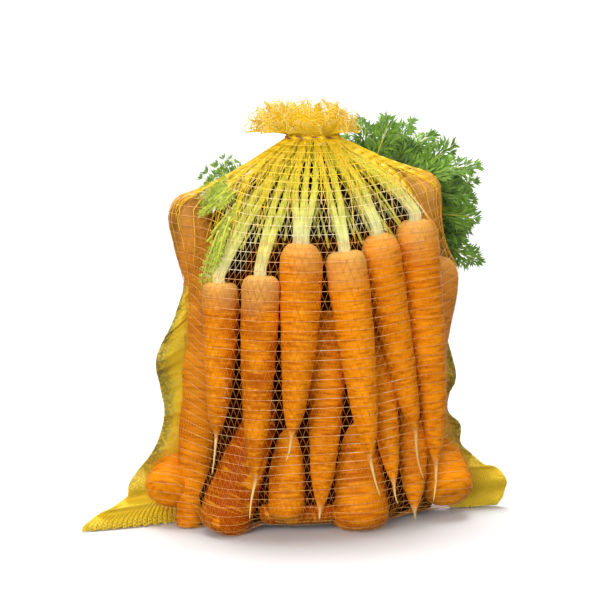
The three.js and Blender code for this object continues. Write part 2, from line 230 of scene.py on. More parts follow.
def oval_rings(half_width, half_depth, height, sides):
    """Rows of points round ovals that stand askew as the sack does."""
    angle = np.linspace(0, FULL_TURN, sides + 1)
    x = half_width[:, None] * np.sin(angle)
    y = -half_depth[:, None] * np.cos(angle) + SKEW * x
    points = np.stack((x, y, np.broadcast_to(height[:, None], x.shape)), axis=-1)
    points[:, -1] = points[:, 0]
    return points


# Carrots.
SETTLE_STEPS = 14
SETTLE_ROUNDS = 30
SETTLE_LEAST = 1.8 * MM
SETTLE_MOST = 26 * MM
TAPER = np.array(((0, 0.95), (0.06, 1), (0.45, 0.87), (0.84, 0.54), (1, 0.12)))
CARROT_BOW = 5 * MM


def settle(carrots):
    """Pushes each carrot in from the net until it is clear of those before it in the list."""
    shares = np.linspace(0, 1, SETTLE_STEPS)
    radius = np.interp(shares, TAPER[:, 0], TAPER[:, 1]) / 2
    for count, mine in enumerate(carrots):
        pushed = 0
        for _ in range(SETTLE_ROUNDS):
            deepest = -SETTLE_LEAST
            spine = mine.crown + shares[:, None] * (mine.tip - mine.crown)
            for other in carrots[:count]:
                other_spine = other.crown + shares[:, None] * (other.tip - other.crown)
                apart = np.linalg.norm(spine[:, None] - other_spine, axis=-1)
                room = apart - mine.girth * radius[:, None] - other.girth * radius
                at = np.unravel_index(room.argmin(), room.shape)
                if room[at] < deepest:
                    deepest = room[at]
                    share = shares[at[0]]
            pushed -= deepest
            if deepest == -SETTLE_LEAST or pushed > SETTLE_MOST:
                break
            mine.crown = mine.crown - deepest * (1 - share) * mine.inward
            mine.tip = mine.tip - deepest * share * mine.inward
            mine.root = mine.root - deepest * share * mine.inward


def all_carrots():
    """Every carrot's place and size: those that the front shows, then rows round the back."""
    carrots = []
    for *places, stalks, shoulder, soil_and_shade, tone in FRONT_CARROTS:
        cx, cz, tx, tz, rx, rz, girth, crown_in, tip_in = MM * np.array(places)
        carrots.append(SimpleNamespace(
            crown=behind_front(cx, cz, girth / 2 + crown_in),
            tip=behind_front(tx, tz, TIP_INSET * girth + tip_in),
            root=behind_front(rx, rz, TIP_INSET * girth + tip_in),
            girth=girth, stalks=stalks, shoulder=shoulder, soil_and_shade=soil_and_shade, tone=tone, inward=np.array((0, 1, 0)),
            front=True))
    start, end = np.radians(BACK_ARC)
    for tier, (count, crown, length, girth, tip_inset, stalks, uneven) in enumerate(BACK_ROWS):
        for k in range(count):
            angle = lerp(start, end, (k + 0.5) / count)
            wide = (girth + GIRTH_JITTER * jitter(k, tier)) * MM
            long = (length + LENGTH_JITTER * jitter(k, tier + 2)) * MM
            height = (crown + uneven * jitter(k, tier + 4)) * MM
            lean = math.radians(LEAN_JITTER * jitter(k, tier + 6))
            crown_at = inside_net(angle, height, wide / 2)
            tip_at = inside_net(angle + lean, height + long, wide / 2 + tip_inset * MM)
            carrots.append(SimpleNamespace(
                crown=crown_at, tip=tip_at, root=tip_at + (tip_at - crown_at) * BACK_ROOT, girth=wide,
                stalks=stalks, shoulder=0.5 + jitter(k, tier + 3), soil_and_shade=0, tone=0.5 + jitter(k, tier + 8),
                inward=np.array((-math.sin(angle), math.cos(angle), 0)), front=False))
    settle(carrots)
    return carrots


# Shares of a carrot's length and radius, from the middle of the crown to the tip.
SQUARE_FORM = np.array((
    (0.016, 0), (0.012, 0.2), (0.004, 0.4), (0, 0.62), (0.006, 0.84), (0.025, 0.96), (0.08, 1), (0.28, 0.95),
    (0.45, 0.87), (0.65, 0.74), (0.84, 0.54), (0.93, 0.34), (0.975, 0.18), (1, 0.1)))
ROUND_FORM = np.array((
    (0.012, 0), (0.006, 0.2), (0, 0.38), (0.004, 0.52), (0.022, 0.72), (0.06, 0.91), (0.12, 1), (0.28, 0.97),
    (0.45, 0.88), (0.65, 0.74), (0.84, 0.54), (0.93, 0.34), (0.975, 0.18), (1, 0.1)))
DOME_FORM = np.array((
    (0, 0), (0.003, 0.2), (0.011, 0.38), (0.022, 0.54), (0.045, 0.74), (0.09, 0.93), (0.15, 1), (0.28, 0.99),
    (0.45, 0.9), (0.65, 0.76), (0.84, 0.55), (0.93, 0.34), (0.975, 0.18), (1, 0.1)))
ROOT_RINGS = 9
ROOT_END = 0.35 * MM
ROOT_CURL = 0.12  # shares of a root's length: how far it curls aside, and how far it runs straight on first
ROOT_LEAD = 0.25
ROOT_THINNING = 0.6
CARROT_RINGS = 40
CARROT_SIDES = 30
BULGE_WAVE = 34 * MM
BULGES = (0.022, 0.012, 0.014)  # shares of the radius: twice round, three times round, and along
CARROT_CLEAR = 1.2 * MM  # room under a carrot for the net


def carrot_surface(carrot, number, rings, sides, rooted=True):
    """Rows of points round a carrot from the middle of its crown to its root's end, with the share of its
    length and the distance that each is along it."""
    axis = carrot.tip - carrot.crown
    length = np.linalg.norm(axis)
    side = unit(np.cross(axis, (0, 1, 0)))
    front = unit(np.cross(axis, side))
    form = lerp(SQUARE_FORM, ROUND_FORM, min(carrot.shoulder, 1))
    form = lerp(form, DOME_FORM, max(carrot.shoulder - 1, 0))
    along, radius = smooth_path(form, rings).T
    radius = np.maximum(radius, 0) * carrot.girth / 2
    radius[0] = 0
    bow = CARROT_BOW * jitter(number, 9) * np.sin(math.pi * np.clip(along, 0, 1))
    centre = carrot.crown + along[:, None] * axis + bow[:, None] * side
    if rooted:
        reach = np.linspace(0, 1, ROOT_RINGS + 1)[1:, None]
        way = carrot.root - carrot.tip
        root_length = np.linalg.norm(way)
        curl = np.sin(math.pi * reach) * ROOT_CURL * jitter(number, 11) * root_length * side
        lead = ROOT_LEAD * unit(axis) * root_length * reach * (1 - reach)
        centre = np.vstack((centre, carrot.tip + way * reach + curl + lead))
        radius = np.append(radius, lerp(radius[-1], ROOT_END, reach[:, 0] ** ROOT_THINNING))
        radius[-1] = 0
        along = np.append(along, 1 + reach[:, 0] * root_length / length)
    angle = np.linspace(0, FULL_TURN, sides + 1)
    phase = FULL_TURN * (0.5 + jitter(number, 13))
    distance = along[:, None] * length
    twice, thrice, lengthwise = BULGES
    lumps = (1 + twice * np.sin(2 * angle + phase)
             + thrice * np.sin(3 * angle - phase + distance / BULGE_WAVE)
             + lengthwise * np.sin(FULL_TURN * distance / BULGE_WAVE + phase + np.sin(angle)))
    reach = radius[:, None] * lumps
    points = (centre[:, None] + reach[..., None] * np.cos(angle)[:, None] * side
              + reach[..., None] * np.sin(angle)[:, None] * front)
    points[..., 2] = np.maximum(points[..., 2], CARROT_CLEAR)
    points[:, -1] = points[:, 0]
    return points, np.broadcast_to(along[:, None], reach.shape), np.broadcast_to(distance, reach.shape)


# Leaf stalks under the net.
STALK_RADIUS = (3.7 * MM, 1.9 * MM)
STALK_SPREAD = 4.4 * MM
STALK_APART = SimpleNamespace(root=0.8, foot=0.85, way=1.1, tie=0.4)  # shares of the spread that are kept
STALK_ROOT = 4 * MM
STALK_RISE = 9 * MM  # straight up from the crown
STALK_BENDS = (0.36, 0.7)  # shares of the way from there to the tie
STALK_LIFT = np.array((0, 4, 6)) * MM
STALK_SWAY = np.array((0.03, 0, 0))  # how far a stalk bows out, as a share of its way across
STALK_DRAWN = 0.2  # share of its place across that a stalk keeps at the tie
NECK_ROOM = (0.6, 0.5)  # shares of the neck's half width and half depth that stalks end in
STALK_END = 6 * MM
STALK_STEPS = 30
STALK_SIDES = 24
STALK_RIDGES = 5
RIDGE_HEIGHT = 0.07  # share of a stalk's radius
TUBE_FACING = (0, 1, 0.001)  # never quite along a tube


def stalk_paths(carrot):
    """Paths of a carrot's leaf stalks from its crown up under the net to the tie."""
    up = unit(carrot.crown - carrot.tip)
    facing = -1 if carrot.front else 1
    room = NECK_ROOM[0] * NECK_HALF[0]
    paths = []
    for k in range(carrot.stalks):
        aside = np.array(((k - (carrot.stalks - 1) / 2) * STALK_SPREAD, 0, 0))
        root = carrot.crown - STALK_ROOT * up + STALK_APART.root * aside
        foot = carrot.crown + STALK_RISE * up + STALK_APART.foot * aside
        across = np.clip(STALK_DRAWN * foot[0] + STALK_APART.tie * aside[0], -room, room)
        back = NECK_ROOM[1] * facing * NECK_HALF[1] + SKEW * across
        end = np.array((across, back, TIE_HEIGHT - STALK_END))
        bow = STALK_LIFT * (1, facing, 1) + STALK_SWAY * (foot - end) + STALK_APART.way * aside
        bends = [lerp(foot, end, share) + math.sin(math.pi * share) * bow for share in STALK_BENDS]
        paths.append(smooth_path((root, foot, *bends, end), STALK_STEPS))
    return paths


def tube_points(path, radius, sides, ridges=0.0):
    """Rows of points round a path, from its first radius to its last, closed at both ends."""
    width = np.concatenate(((0,), np.linspace(*radius, len(path)), (0,)))
    path = np.vstack((path[:1], path, path[-1:]))
    ahead = np.gradient(path, axis=0)
    ahead[0], ahead[-1] = ahead[1], ahead[-2]
    side = unit(np.cross(ahead, TUBE_FACING))
    front = unit(np.cross(ahead, side))
    angle = np.linspace(0, FULL_TURN, sides + 1)
    reach = width[:, None] * (1 + ridges * np.cos(STALK_RIDGES * angle))
    points = (path[:, None] + (reach * np.cos(angle))[..., None] * side[:, None]
              + (reach * np.sin(angle))[..., None] * front[:, None])
    points[:, -1] = points[:, 0]
    return points


# Blender meshes.
WELD = 0.01 * MM


def shaped_grid(name, points, marks):
    """A grid primitive shaped to rows of points, its seam and poles merged, with a mark on each point."""
    rows, columns = points.shape[:2]
    bpy.ops.object.select_all(action="DESELECT")
    bpy.ops.mesh.primitive_grid_add(x_subdivisions=columns - 1, y_subdivisions=rows - 1, size=1)
    piece = bpy.context.object
    piece.name = piece.data.name = name
    piece.data.vertices.foreach_set("co", points.ravel())
    for mark, values in marks.items():
        attribute = piece.data.attributes.new(mark, "FLOAT", "POINT")
        attribute.data.foreach_set("value", np.broadcast_to(values, (rows, columns)).ravel())
    bpy.ops.object.mode_set(mode="EDIT")
    bpy.ops.mesh.select_all(action="SELECT")
    bpy.ops.mesh.remove_doubles(threshold=WELD)
    bpy.ops.mesh.normals_make_consistent(inside=False)
    bpy.ops.object.mode_set(mode="OBJECT")
    bpy.ops.object.shade_smooth()
    return piece


def joined(name, pieces):
    """Several meshes as one piece, its object at the origin."""
    bpy.ops.object.select_all(action="DESELECT")
    for piece in pieces:
        piece.select_set(True)
    bpy.context.view_layer.objects.active = pieces[0]
    bpy.ops.object.join()
    pieces[0].name = pieces[0].data.name = name
    return pieces[0]


def mesh_piece(name, points, faces, marks):
    """A joined mesh from arrays of points and faces, with a mark on each point."""
    mesh = bpy.data.meshes.new(name)
    mesh.from_pydata(points.reshape(-1, 3), [], faces)
    for mark, values in marks.items():
        attribute = mesh.attributes.new(mark, "FLOAT", "POINT")
        attribute.data.foreach_set("value", np.asarray(values, np.float32).ravel())
    mesh.polygons.foreach_set("use_smooth", np.ones(len(mesh.polygons), bool))
    mesh.update()
    piece = bpy.data.objects.new(name, mesh)
    bpy.context.collection.objects.link(piece)
    return piece


def keep(piece, node, material):
    """Gives a finished piece its body, the solid that it stands for and its material."""
    piece.data.materials.clear()
    piece.data.materials.append(material)
    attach(piece, "root")
    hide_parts(node)


def keep_tubes(name, node, tubes, share, material):
    """Keeps tubes as one piece of leaf stalks; the share says how far up a stalk each ring of points is."""
    pieces = [shaped_grid(name, points, {"share": share}) for points in tubes]
    keep(joined(name, pieces), node, material)


# Yarn: sections are shares of the half width across the yarn and of the half height off the surface.
WEFT_SECTION = ((1, 0), (0, 1), (-1, 0), (0, -1))
LACE_SECTION = ((1, -0.5), (0, 1), (-1, -0.5))
YARN_FLATNESS = 0.62
YARN_SLACK = 1.5  # a slack tape, where the net is gathered, is this much wider than a stretched one
# How near a carrot is, from 0 to 1, for a yarn to start to be painted with its colour showing through and to
# take all of it; a weft is thicker than a lace, so less of a carrot's colour is painted through it.
WEFT_NEAR = (0.5, 0.92)
LACE_NEAR = (0.05, 0.45)
WEFT_TINT = 0.74
WEFT_STEPS = 3
LACE_LEAN = (-0.5, 0.5)  # columns that the two laces of a stitch lean
LACE_REACH = np.array((0, 0.5, 1))
LOOSE_PITCH = 5.4 * MM
DENSE_PITCH = 1.6 * MM
# Under the sack the net is painted with the carrots' orange in full, not with the gathered yellow.
UNDERSIDE = (6 * MM, 14 * MM)  # below, the net lies against the carrots
NUDGE = 1e-3


def yarn_arrays(points, normals, width, section, closed):
    """Tubes along lines of points on a surface, as points and faces; the width is given at each point."""
    lines, steps = points.shape[:2]
    width = width[..., None]
    if closed:
        ahead = np.roll(points, -1, axis=1) - np.roll(points, 1, axis=1)
    else:
        ahead = np.gradient(points, axis=1)
    side = unit(np.cross(ahead, normals))
    off = unit(np.cross(side, ahead))
    rings = np.stack([points + width / 2 * (s * side + YARN_FLATNESS * n * off) for s, n in section], axis=2)
    sides = len(section)
    ring = np.arange(lines * steps).reshape(lines, steps) * sides
    here = ring if closed else ring[:, :-1]
    there = np.roll(ring, -1, axis=1) if closed else ring[:, 1:]
    faces = []
    for k in range(sides):
        after = (k + 1) % sides
        faces.append(np.stack((here + k, there + k, there + after, here + after), axis=-1).reshape(-1, 4))
    faces = np.concatenate(faces).tolist()
    if not closed:
        around = np.arange(sides)
        faces += (ring[:, :1] + around).tolist()
        faces += (ring[:, -1:] + around[::-1]).tolist()
    return rings.reshape(-1, 3), faces, sides


def yarn_piece(name, groups):
    """One piece from groups of yarns: points, normals, how gathered, tint, width, section, closed."""
    points, faces = [], []
    marks = {"gather": [], "tint": []}
    count = 0
    for line, normals, gather, tint, width, section, closed in groups:
        width = width * (1 + YARN_SLACK * gather)
        rings, new_faces, sides = yarn_arrays(line, normals, width, section, closed)
        points.append(rings)
        faces += [[index + count for index in face] for face in new_faces]
        marks["gather"].append(np.repeat(gather.ravel(), sides))
        marks["tint"].append(np.repeat(tint.ravel(), sides))
        count += len(rings)
    marks = {mark: np.concatenate(values) for mark, values in marks.items()}
    return mesh_piece(name, np.concatenate(points), faces, marks)


def on_surface(place, row, turn, columns):
    """Points, normals, how gathered the net is and its tint at rows and turns of a surface.

    The tint goes from -1, painted shade at the edge of a fold, through 0, far from any carrot, to 1, a
    carrot's orange painted through the yarn on it.
    """
    points, tint, slack = place(row, turn)
    along = (place(row, turn + NUDGE)[0] - place(row, turn - NUDGE)[0]) / (2 * NUDGE)
    up = place(row + NUDGE, turn)[0] - place(row - NUDGE, turn)[0]
    pitch = np.linalg.norm(along, axis=-1) / columns
    # Crowded yarn is drawn wider and painted the deeper yellow of light through many layers.
    crowded = 1 - smoothstep(pitch, DENSE_PITCH, LOOSE_PITCH)
    under = np.clip(tint, 0, 1) * (1 - smoothstep(points[..., 2], *UNDERSIDE))
    return points, unit(np.cross(along, up)), np.maximum(slack, crowded * (1 - under)), tint


def knit(place, rows, columns, closed, weft_width, lace_width):
    """Wefts along the rows of a surface, and laces that zigzag between them, as two groups of yarns."""
    steps = columns * WEFT_STEPS
    turn = np.arange(steps + (0 if closed else 1)) / steps
    row = np.arange(rows + 1) / rows
    *wefts, tint = on_surface(place, *np.meshgrid(row, turn, indexing="ij"), columns)
    wefts.append(np.where(tint > 0, WEFT_TINT * smoothstep(tint, *WEFT_NEAR), tint))
    r, c, lean = np.meshgrid(np.arange(rows), np.arange(columns), LACE_LEAN, indexing="ij")
    start = c + 0.5 * (r % 2)
    turn = (start[..., None] + lean[..., None] * LACE_REACH).reshape(-1, 3) / columns
    row = (r[..., None] + LACE_REACH).reshape(-1, 3) / rows
    if not closed:
        turn = np.clip(turn, 0, 1)
    *laces, tint = on_surface(place, row, turn, columns)
    laces.append(np.where(tint > 0, smoothstep(tint, *LACE_NEAR), tint))
    return (*wefts, weft_width, WEFT_SECTION, closed), (*laces, lace_width, LACE_SECTION, False)


# The net drawn over its filling, as shares of an oval on a grid of levels and turns.
NET_HALF = (118 * MM, 95 * MM)
TURNS = 360
LEVELS = np.concatenate((np.linspace(0, 290, 131), np.linspace(290, 333, 81)[1:])) * MM
CARROT_HOLDS = (90, 64)  # rings and sides of the points on a carrot that hold the net out
STALK_HOLDS = (90, 16)
CORE_SHARE = 0.6
NECK_SHARE = 0.19
NECK_MOST = 0.3  # of the few levels under the tie
NECK_LEVELS = slice(-4, -1)
START_SHARE = 0.9
WRAP_ROUNDS = 1500
HOOP_PULL = (0.6, 0.12)  # how much of the net's pull runs round the sack, low down and near the neck
HOOP_CHANGE = (200 * MM, 300 * MM)
TUCK = (4 * MM, 30 * MM)  # the net tucks in under the carrots up to here
TUCK_PULL = 0.06
FOOT_SHARE = 0.5
# Up to this far behind the net, and some turns beside, a carrot's orange is painted through the yarn.
NEAR_REACH = 80 * MM  # how far behind the net a carrot still tints it
BESIDE = 13  # turns to each side that a carrot tints where the net turns away
TURNED_AWAY = (0.6, 0.8)
BARE_ABOVE = (195 * MM, 235 * MM)
UNDER_SHARES = np.array((0.55, 0.65, 0.75, 0.84, 0.91, 0.96))
UNDER_HEIGHT = 0.8 * MM
# Between two carrots that stand at the front, the net's foot hangs clear of the floor.
CLEAR_SPAN = (-50 * MM, 16 * MM)
CLEAR_EDGE = 10 * MM
CLEAR_RISE = 5.5 * MM
CLEAR_REACH = 24 * MM  # no higher up does the net rise with its foot


def filling_points(carrots):
    """Points all over the carrots, and all over their stalks, close enough together to hold the net."""
    skins, stalks = [], []
    steps, sides = STALK_HOLDS
    for number, carrot in enumerate(carrots):
        skins.append(carrot_surface(carrot, number, *CARROT_HOLDS, rooted=False)[0].reshape(-1, 3))
        for path in stalk_paths(carrot):
            stalks.append(tube_points(smooth_path(path, steps), STALK_RADIUS, sides).reshape(-1, 3))
    return np.concatenate(skins), np.concatenate(stalks)


def held_out(points, gap):
    """How far out points hold a net round them, as radius shares on a grid of levels and turns."""
    x = points[:, 0] / NET_HALF[0]
    y = (points[:, 1] - SKEW * points[:, 0]) / NET_HALF[1]
    share = np.hypot(x, y) + gap / NET_HALF[1]
    turn = ((np.arctan2(x, -y) / FULL_TURN % 1) * TURNS).astype(int)
    level = np.interp(points[:, 2], LEVELS, np.arange(len(LEVELS))).astype(int)
    held = np.zeros((len(LEVELS), TURNS))
    for level_step in (0, 1):
        for turn_step in (0, 1):
            at = np.minimum(level + level_step, len(LEVELS) - 1), (turn + turn_step) % TURNS
            np.maximum.at(held, at, share)
    return held


def wrapped(held, outline):
    """The net's radius shares once it is drawn tight round the sack and up to the neck over what holds it."""
    held[-1] = NECK_SHARE
    held[NECK_LEVELS] = np.minimum(held[NECK_LEVELS], NECK_MOST)
    net = np.maximum(held, START_SHARE * outline)
    net[-1] = NECK_SHARE
    step = np.diff(LEVELS)
    below, above = step[:-1, None], step[1:, None]
    pull = lerp(*HOOP_PULL, smoothstep(LEVELS, *HOOP_CHANGE)) * lerp(TUCK_PULL, 1, smoothstep(LEVELS, *TUCK))
    pull = pull[1:-1, None]
    cosine = math.cos(FULL_TURN / TURNS)
    for _ in range(WRAP_ROUNDS):
        left, right = np.roll(net, 1, axis=1), np.roll(net, -1, axis=1)
        hoop = (2 * left * right / (left + right) * cosine)[1:-1]
        taut = (net[2:] * below + net[:-2] * above) / (below + above)
        net[1:-1] = np.maximum(held[1:-1], lerp(taut, hoop, pull))
        net[0] = np.maximum(held[0], FOOT_SHARE * net[1])
    return net


def nearness(net, skins, angle):
    """How near a carrot lies behind the net at each level and turn, from 0 to 1, and so how much of its
    orange is painted through the net.
    """
    near = np.clip(1 - (net - skins) * NET_HALF[1] / NEAR_REACH, 0, 1)
    # A carrot's orange is also painted through the net beside it, where its own side or the net turns away.
    beside = np.maximum.reduce([np.roll(near, turns, axis=1) for turns in range(-BESIDE, BESIDE + 1)])
    near = np.where(skins > 0, near, beside)
    low = 1 - smoothstep(LEVELS, *BARE_ABOVE)
    turned = smoothstep(np.abs(np.sin(angle)), *TURNED_AWAY) * low[:, None]
    return np.maximum(lerp(near, beside, turned), 1 - smoothstep(LEVELS, *UNDERSIDE)[:, None])


def net_grid(carrots, gap):
    """The net's surface and tint on a grid of levels and turns, from under the sack up to the neck."""
    skins, stalks = (held_out(points, gap) for points in filling_points(carrots))
    half_width, half_depth = half_sizes(LEVELS)
    angle = np.arange(TURNS) / TURNS * FULL_TURN
    outline = np.hypot(half_width[:, None] / NET_HALF[0] * np.sin(angle),
                       half_depth[:, None] / NET_HALF[1] * np.cos(angle))
    core = CORE_SHARE * outline * (LEVELS < SHOULDER_HEIGHT)[:, None]
    net = wrapped(np.maximum.reduce((core, skins, stalks)), outline)
    share = np.vstack((UNDER_SHARES[:, None] * net[:1], net))
    # Painted carrot orange on the net; the rows under the sack take all of it.
    painted_through = np.vstack((np.ones((len(UNDER_SHARES), TURNS)), nearness(net, skins, angle)))
    height = np.concatenate((np.zeros(len(UNDER_SHARES)), LEVELS)) + UNDER_HEIGHT
    x = NET_HALF[0] * share * np.sin(angle)
    y = -NET_HALF[1] * share * np.cos(angle) + SKEW * x
    clear = smoothstep(x, CLEAR_SPAN[0] - CLEAR_EDGE, CLEAR_SPAN[0]) * (y < 0)
    clear = clear * (1 - smoothstep(x, CLEAR_SPAN[1], CLEAR_SPAN[1] + CLEAR_EDGE))
    height = height[:, None] + CLEAR_RISE * clear * (1 - smoothstep(height, 0, CLEAR_REACH))[:, None]
    return np.stack((x, y, height, painted_through), axis=-1)


ROW_WAVES = 5  # how many times round the sack a row may rise and fall
FINE_ROWS = 4  # steps from one row of the net to the next
CORNER_LIFT = 0.085  # how far the rows climb towards the two lower corners that the net hangs from
CORNER_FADE = 1.5
BUNDLES = 19
BUNDLE_PULL = 0.75
BUNDLE_WAVES = ((0.9, 2, 1), (0.6, 5, 0))
BUNDLED = (0.68, 0.97)  # rows from which the columns are drawn together
SIDE_PULL = 0.55  # how much closer the columns are drawn together at the two sides of the neck
NECK_SLACK = 0.75
NECK_ROWS = (0.77, 0.92)
# Folds of the gathered net that run down from the tie.
FOLDS = 170
FOLD_STEPS = 16
FOLD_ENDS = (0.94, 0.72)
FOLD_LENGTHS = 1.5  # more of them are short than long
FOLD_SLACK = (1.0, 0.4)
FOLD_INSET = 0.6 * MM
SIDE_FOLDS = 0.14  # how much further down the folds at the two sides reach
SIDE_NARROW = 4


def even_rows(grid, count):
    """The same surface with rows spaced evenly up it, taut round it rather than into every hollow."""
    length = np.linalg.norm(np.diff(grid[..., :3], axis=0), axis=-1).cumsum(axis=0)
    length = np.vstack((np.zeros((1, grid.shape[1])), length)) / length[-1]
    waves = np.fft.rfft(length, axis=1)
    waves *= np.exp(-(np.arange(waves.shape[1]) / ROW_WAVES) ** 2)
    length = np.fft.irfft(waves, grid.shape[1], axis=1)
    even = np.linspace(0, 1, count)
    rows = np.empty((count,) + grid.shape[1:])
    for column in range(grid.shape[1]):
        for axis in range(grid.shape[2]):
            rows[:, column, axis] = np.interp(even, length[:, column], grid[:, column, axis])
    return rows


def net_place(carrots, gap, rows):
    """Where the net is at a row from 0 to 1 and a turn, with its columns drawn into bundles near the neck."""
    grid = even_rows(net_grid(carrots, gap), FINE_ROWS * rows + 1)

    def place(row, turn):
        row = np.clip(row, 0, 1)
        row = row + CORNER_LIFT * np.sin(FULL_TURN * turn) ** 2 * (1 - row) ** CORNER_FADE
        bundle = FULL_TURN * BUNDLES * turn + wander(turn, *BUNDLE_WAVES)
        bundled = BUNDLE_PULL * np.sin(bundle) / (FULL_TURN * BUNDLES)
        sideways = SIDE_PULL * np.sin(2 * FULL_TURN * turn) / (2 * FULL_TURN)
        turn = turn + smoothstep(row, *BUNDLED) * (bundled + sideways)
        up = row * (len(grid) - 1)
        low = np.minimum(up.astype(int), len(grid) - 2)
        rise = (up - low)[..., None]
        across = turn % 1 * TURNS
        left = across.astype(int) % TURNS
        shift = (across - across.astype(int))[..., None]
        right = (left + 1) % TURNS
        lower = lerp(grid[low, left], grid[low, right], shift)
        upper = lerp(grid[low + 1, left], grid[low + 1, right], shift)
        found = lerp(lower, upper, rise)
        return found[..., :3], found[..., 3], NECK_SLACK * smoothstep(row, *NECK_ROWS)

    return place


def neck_folds(place, columns):
    """Folds that run down from the tie, some further than others: points, normals, how gathered, tint."""
    number = np.arange(FOLDS)
    across = (number + jitter(number, 2)) / FOLDS
    at_side = np.sin(FULL_TURN * across) ** SIDE_NARROW
    ends = lerp(*FOLD_ENDS, (0.5 + jitter(number, 1)) ** FOLD_LENGTHS) - SIDE_FOLDS * at_side
    share = np.linspace(0, 1, FOLD_STEPS)
    row = lerp(1, ends[:, None], share)
    turn = np.broadcast_to(across[:, None], row.shape)
    points, normals, _, tint = on_surface(place, row, turn, columns)
    slack = np.broadcast_to(lerp(*FOLD_SLACK, share), row.shape)
    return points - FOLD_INSET * normals, normals, slack, tint


# The frilled mouth above the tie: pleated layers, each standing steeper than the one before.
FRILL_REACH = (34 * MM, 20 * MM, 28 * MM)
FRILL_LAYERS = (  # slope, pleats and length of each layer
    (math.radians(24), 11, 0.88), (math.radians(48), 10, 0.94), (math.radians(74), 8, 1.0))
FRILL_FOOT = 0.8
FRILL_LEAN = -9 * MM
FRILL_LIFT = 2.5 * MM
FRILL_ROWS = 8
FRILL_SLACK = (1.2, 0.5)  # at the tie and at the rim
FRILL_END = 1.1  # a little past the rim
PLEAT_STRAY = (1.1, 0.7)
PLEAT_SWING = 0.75
PLEAT_TILT = (0.22, 0.1)
RIM_UNEVEN = 0.1
RIM_WAVES = 1.5  # for each pleat
LOOPS = 58
LOOP_DEPTH = 0.05
LOOP_ROWS = (0.8, 1)
# The throat that the tie closes, at the bottom of the frill: a pleated funnel.
THROAT_RINGS = 8
THROAT_SIDES = 96
THROAT_DEPTH = 7 * MM
THROAT_PLEATS = 16
PLEAT_HEIGHT = 1.2 * MM


def frill_place(slope, pleats, length):
    """Where a layer of the frill is at a row from the tie to the rim and a turn."""

    def place(row, turn):
        out = np.clip(row, 0, FRILL_END)
        stray = wander(turn, (PLEAT_STRAY[0], 2, pleats), (PLEAT_STRAY[1], 3, -pleats))
        fold = FULL_TURN * pleats * turn + stray
        angle = FULL_TURN * turn + PLEAT_SWING * out * np.sin(fold) / pleats
        rise = slope + out * (PLEAT_TILT[0] * np.cos(fold) + PLEAT_TILT[1] * np.sin(2 * fold + pleats))
        loops = LOOP_DEPTH * smoothstep(row, *LOOP_ROWS) * np.sin(FULL_TURN * LOOPS * turn)
        reach = length * out * (1 + RIM_UNEVEN * np.sin(RIM_WAVES * fold + pleats) + loops)
        flat = reach * np.cos(rise)
        x = (FRILL_FOOT * NECK_HALF[0] + FRILL_REACH[0] * flat) * np.sin(angle) + FRILL_LEAN * out
        y = -(FRILL_FOOT * NECK_HALF[1] + FRILL_REACH[1] * flat) * np.cos(angle)
        z = TIE_HEIGHT + FRILL_LIFT + FRILL_REACH[2] * reach * np.sin(rise)
        return np.stack((x, y, z), axis=-1), np.zeros_like(x), lerp(*FRILL_SLACK, out)

    return place


def throat_points():
    """The funnel that closes the frill, from its middle out to the tie."""
    share = np.linspace(0, 1, THROAT_RINGS)
    height = TIE_HEIGHT + FRILL_LIFT - THROAT_DEPTH * (1 - share)
    points = oval_rings(share * NECK_HALF[0], share * NECK_HALF[1], height, THROAT_SIDES)
    angle = np.linspace(0, FULL_TURN, THROAT_SIDES + 1)
    points[..., 2] += PLEAT_HEIGHT * share[:, None] * np.cos(THROAT_PLEATS * angle)
    return points


# Seam flaps: free and held edges from the top of a flap down to its corner tail, as in the part's source.
LEFT_FREE = (
    (-108, -16, 214), (-121, -14, 176), (-134, -18, 148), (-134, -12, 124), (-128, -18, 101), (-133, -22, 76),
    (-143, -18, 57), (-158, -26, 38), (-161, -34, 25), (-180, -42, 15), (-195, -52, 6), (-197, -56, 1))
LEFT_HELD = (
    (-104, -16, 214), (-104, -16, 176), (-104, -16, 124), (-106, -14, 76), (-110, -8, 40), (-114, -12, 18),
    (-112, -18, 1))
RIGHT_FREE = (
    (116, 22, 190), (118, 20, 158), (126, 20, 124), (119, 24, 94), (131, 18, 78), (131, 26, 63),
    (141, 22, 51), (152, 28, 42), (167, 30, 35), (174, 34, 24), (172, 36, 12), (166, 38, 1))
RIGHT_HELD = (
    (108, 22, 190), (102, 22, 140), (101, 22, 100), (103, 22, 65), (110, 22, 40), (118, 26, 20), (122, 30, 1))
FLAPS = (("left_flap", LEFT_FREE, LEFT_HELD), ("right_flap", RIGHT_FREE, RIGHT_HELD))
FLAP_ROWS = 20
FLAP_COLUMNS = 90
FLAP_SLACK = 1.6
FLAP_SHADE = 0.15  # of a flap's bright ridge, next to its shaded edge
SHADED_ROWS = (0.5, 0.9)
TAIL_LIT = (0.6, 0.85)  # the tails are clear of the shade on a flap's outer edge
TAIL_TAUT = (0.45, 0.68)  # and drawn smooth
TAIL_SMOOTH = 0.95
FLAP_WAVES = 8
FLAP_WAVE_DEPTH = 6 * MM
WAVE_STRAY = 2
LAYER_STRAY = 0.5
FLAP_PUCKERS = 31
FLAP_PUCKER_DEPTH = 0.9 * MM
PUCKER_SLANT = 3
PUCKER_STRAYS = 5
FLAP_LAYERS = (-1, 1)  # the front and the back of the folded seam
FLAP_THICKNESS = 9 * MM
FLAP_FULLNESS = 0.75  # below 1, a flap is fullest near the body
FOLD_SHEET = (16, 260)  # rows and columns of the layers folded up inside
FOLD_THICKNESS = 0.6 * MM
EDGE_STEPS = 200
FLOOR_CLEAR = 0.9 * MM


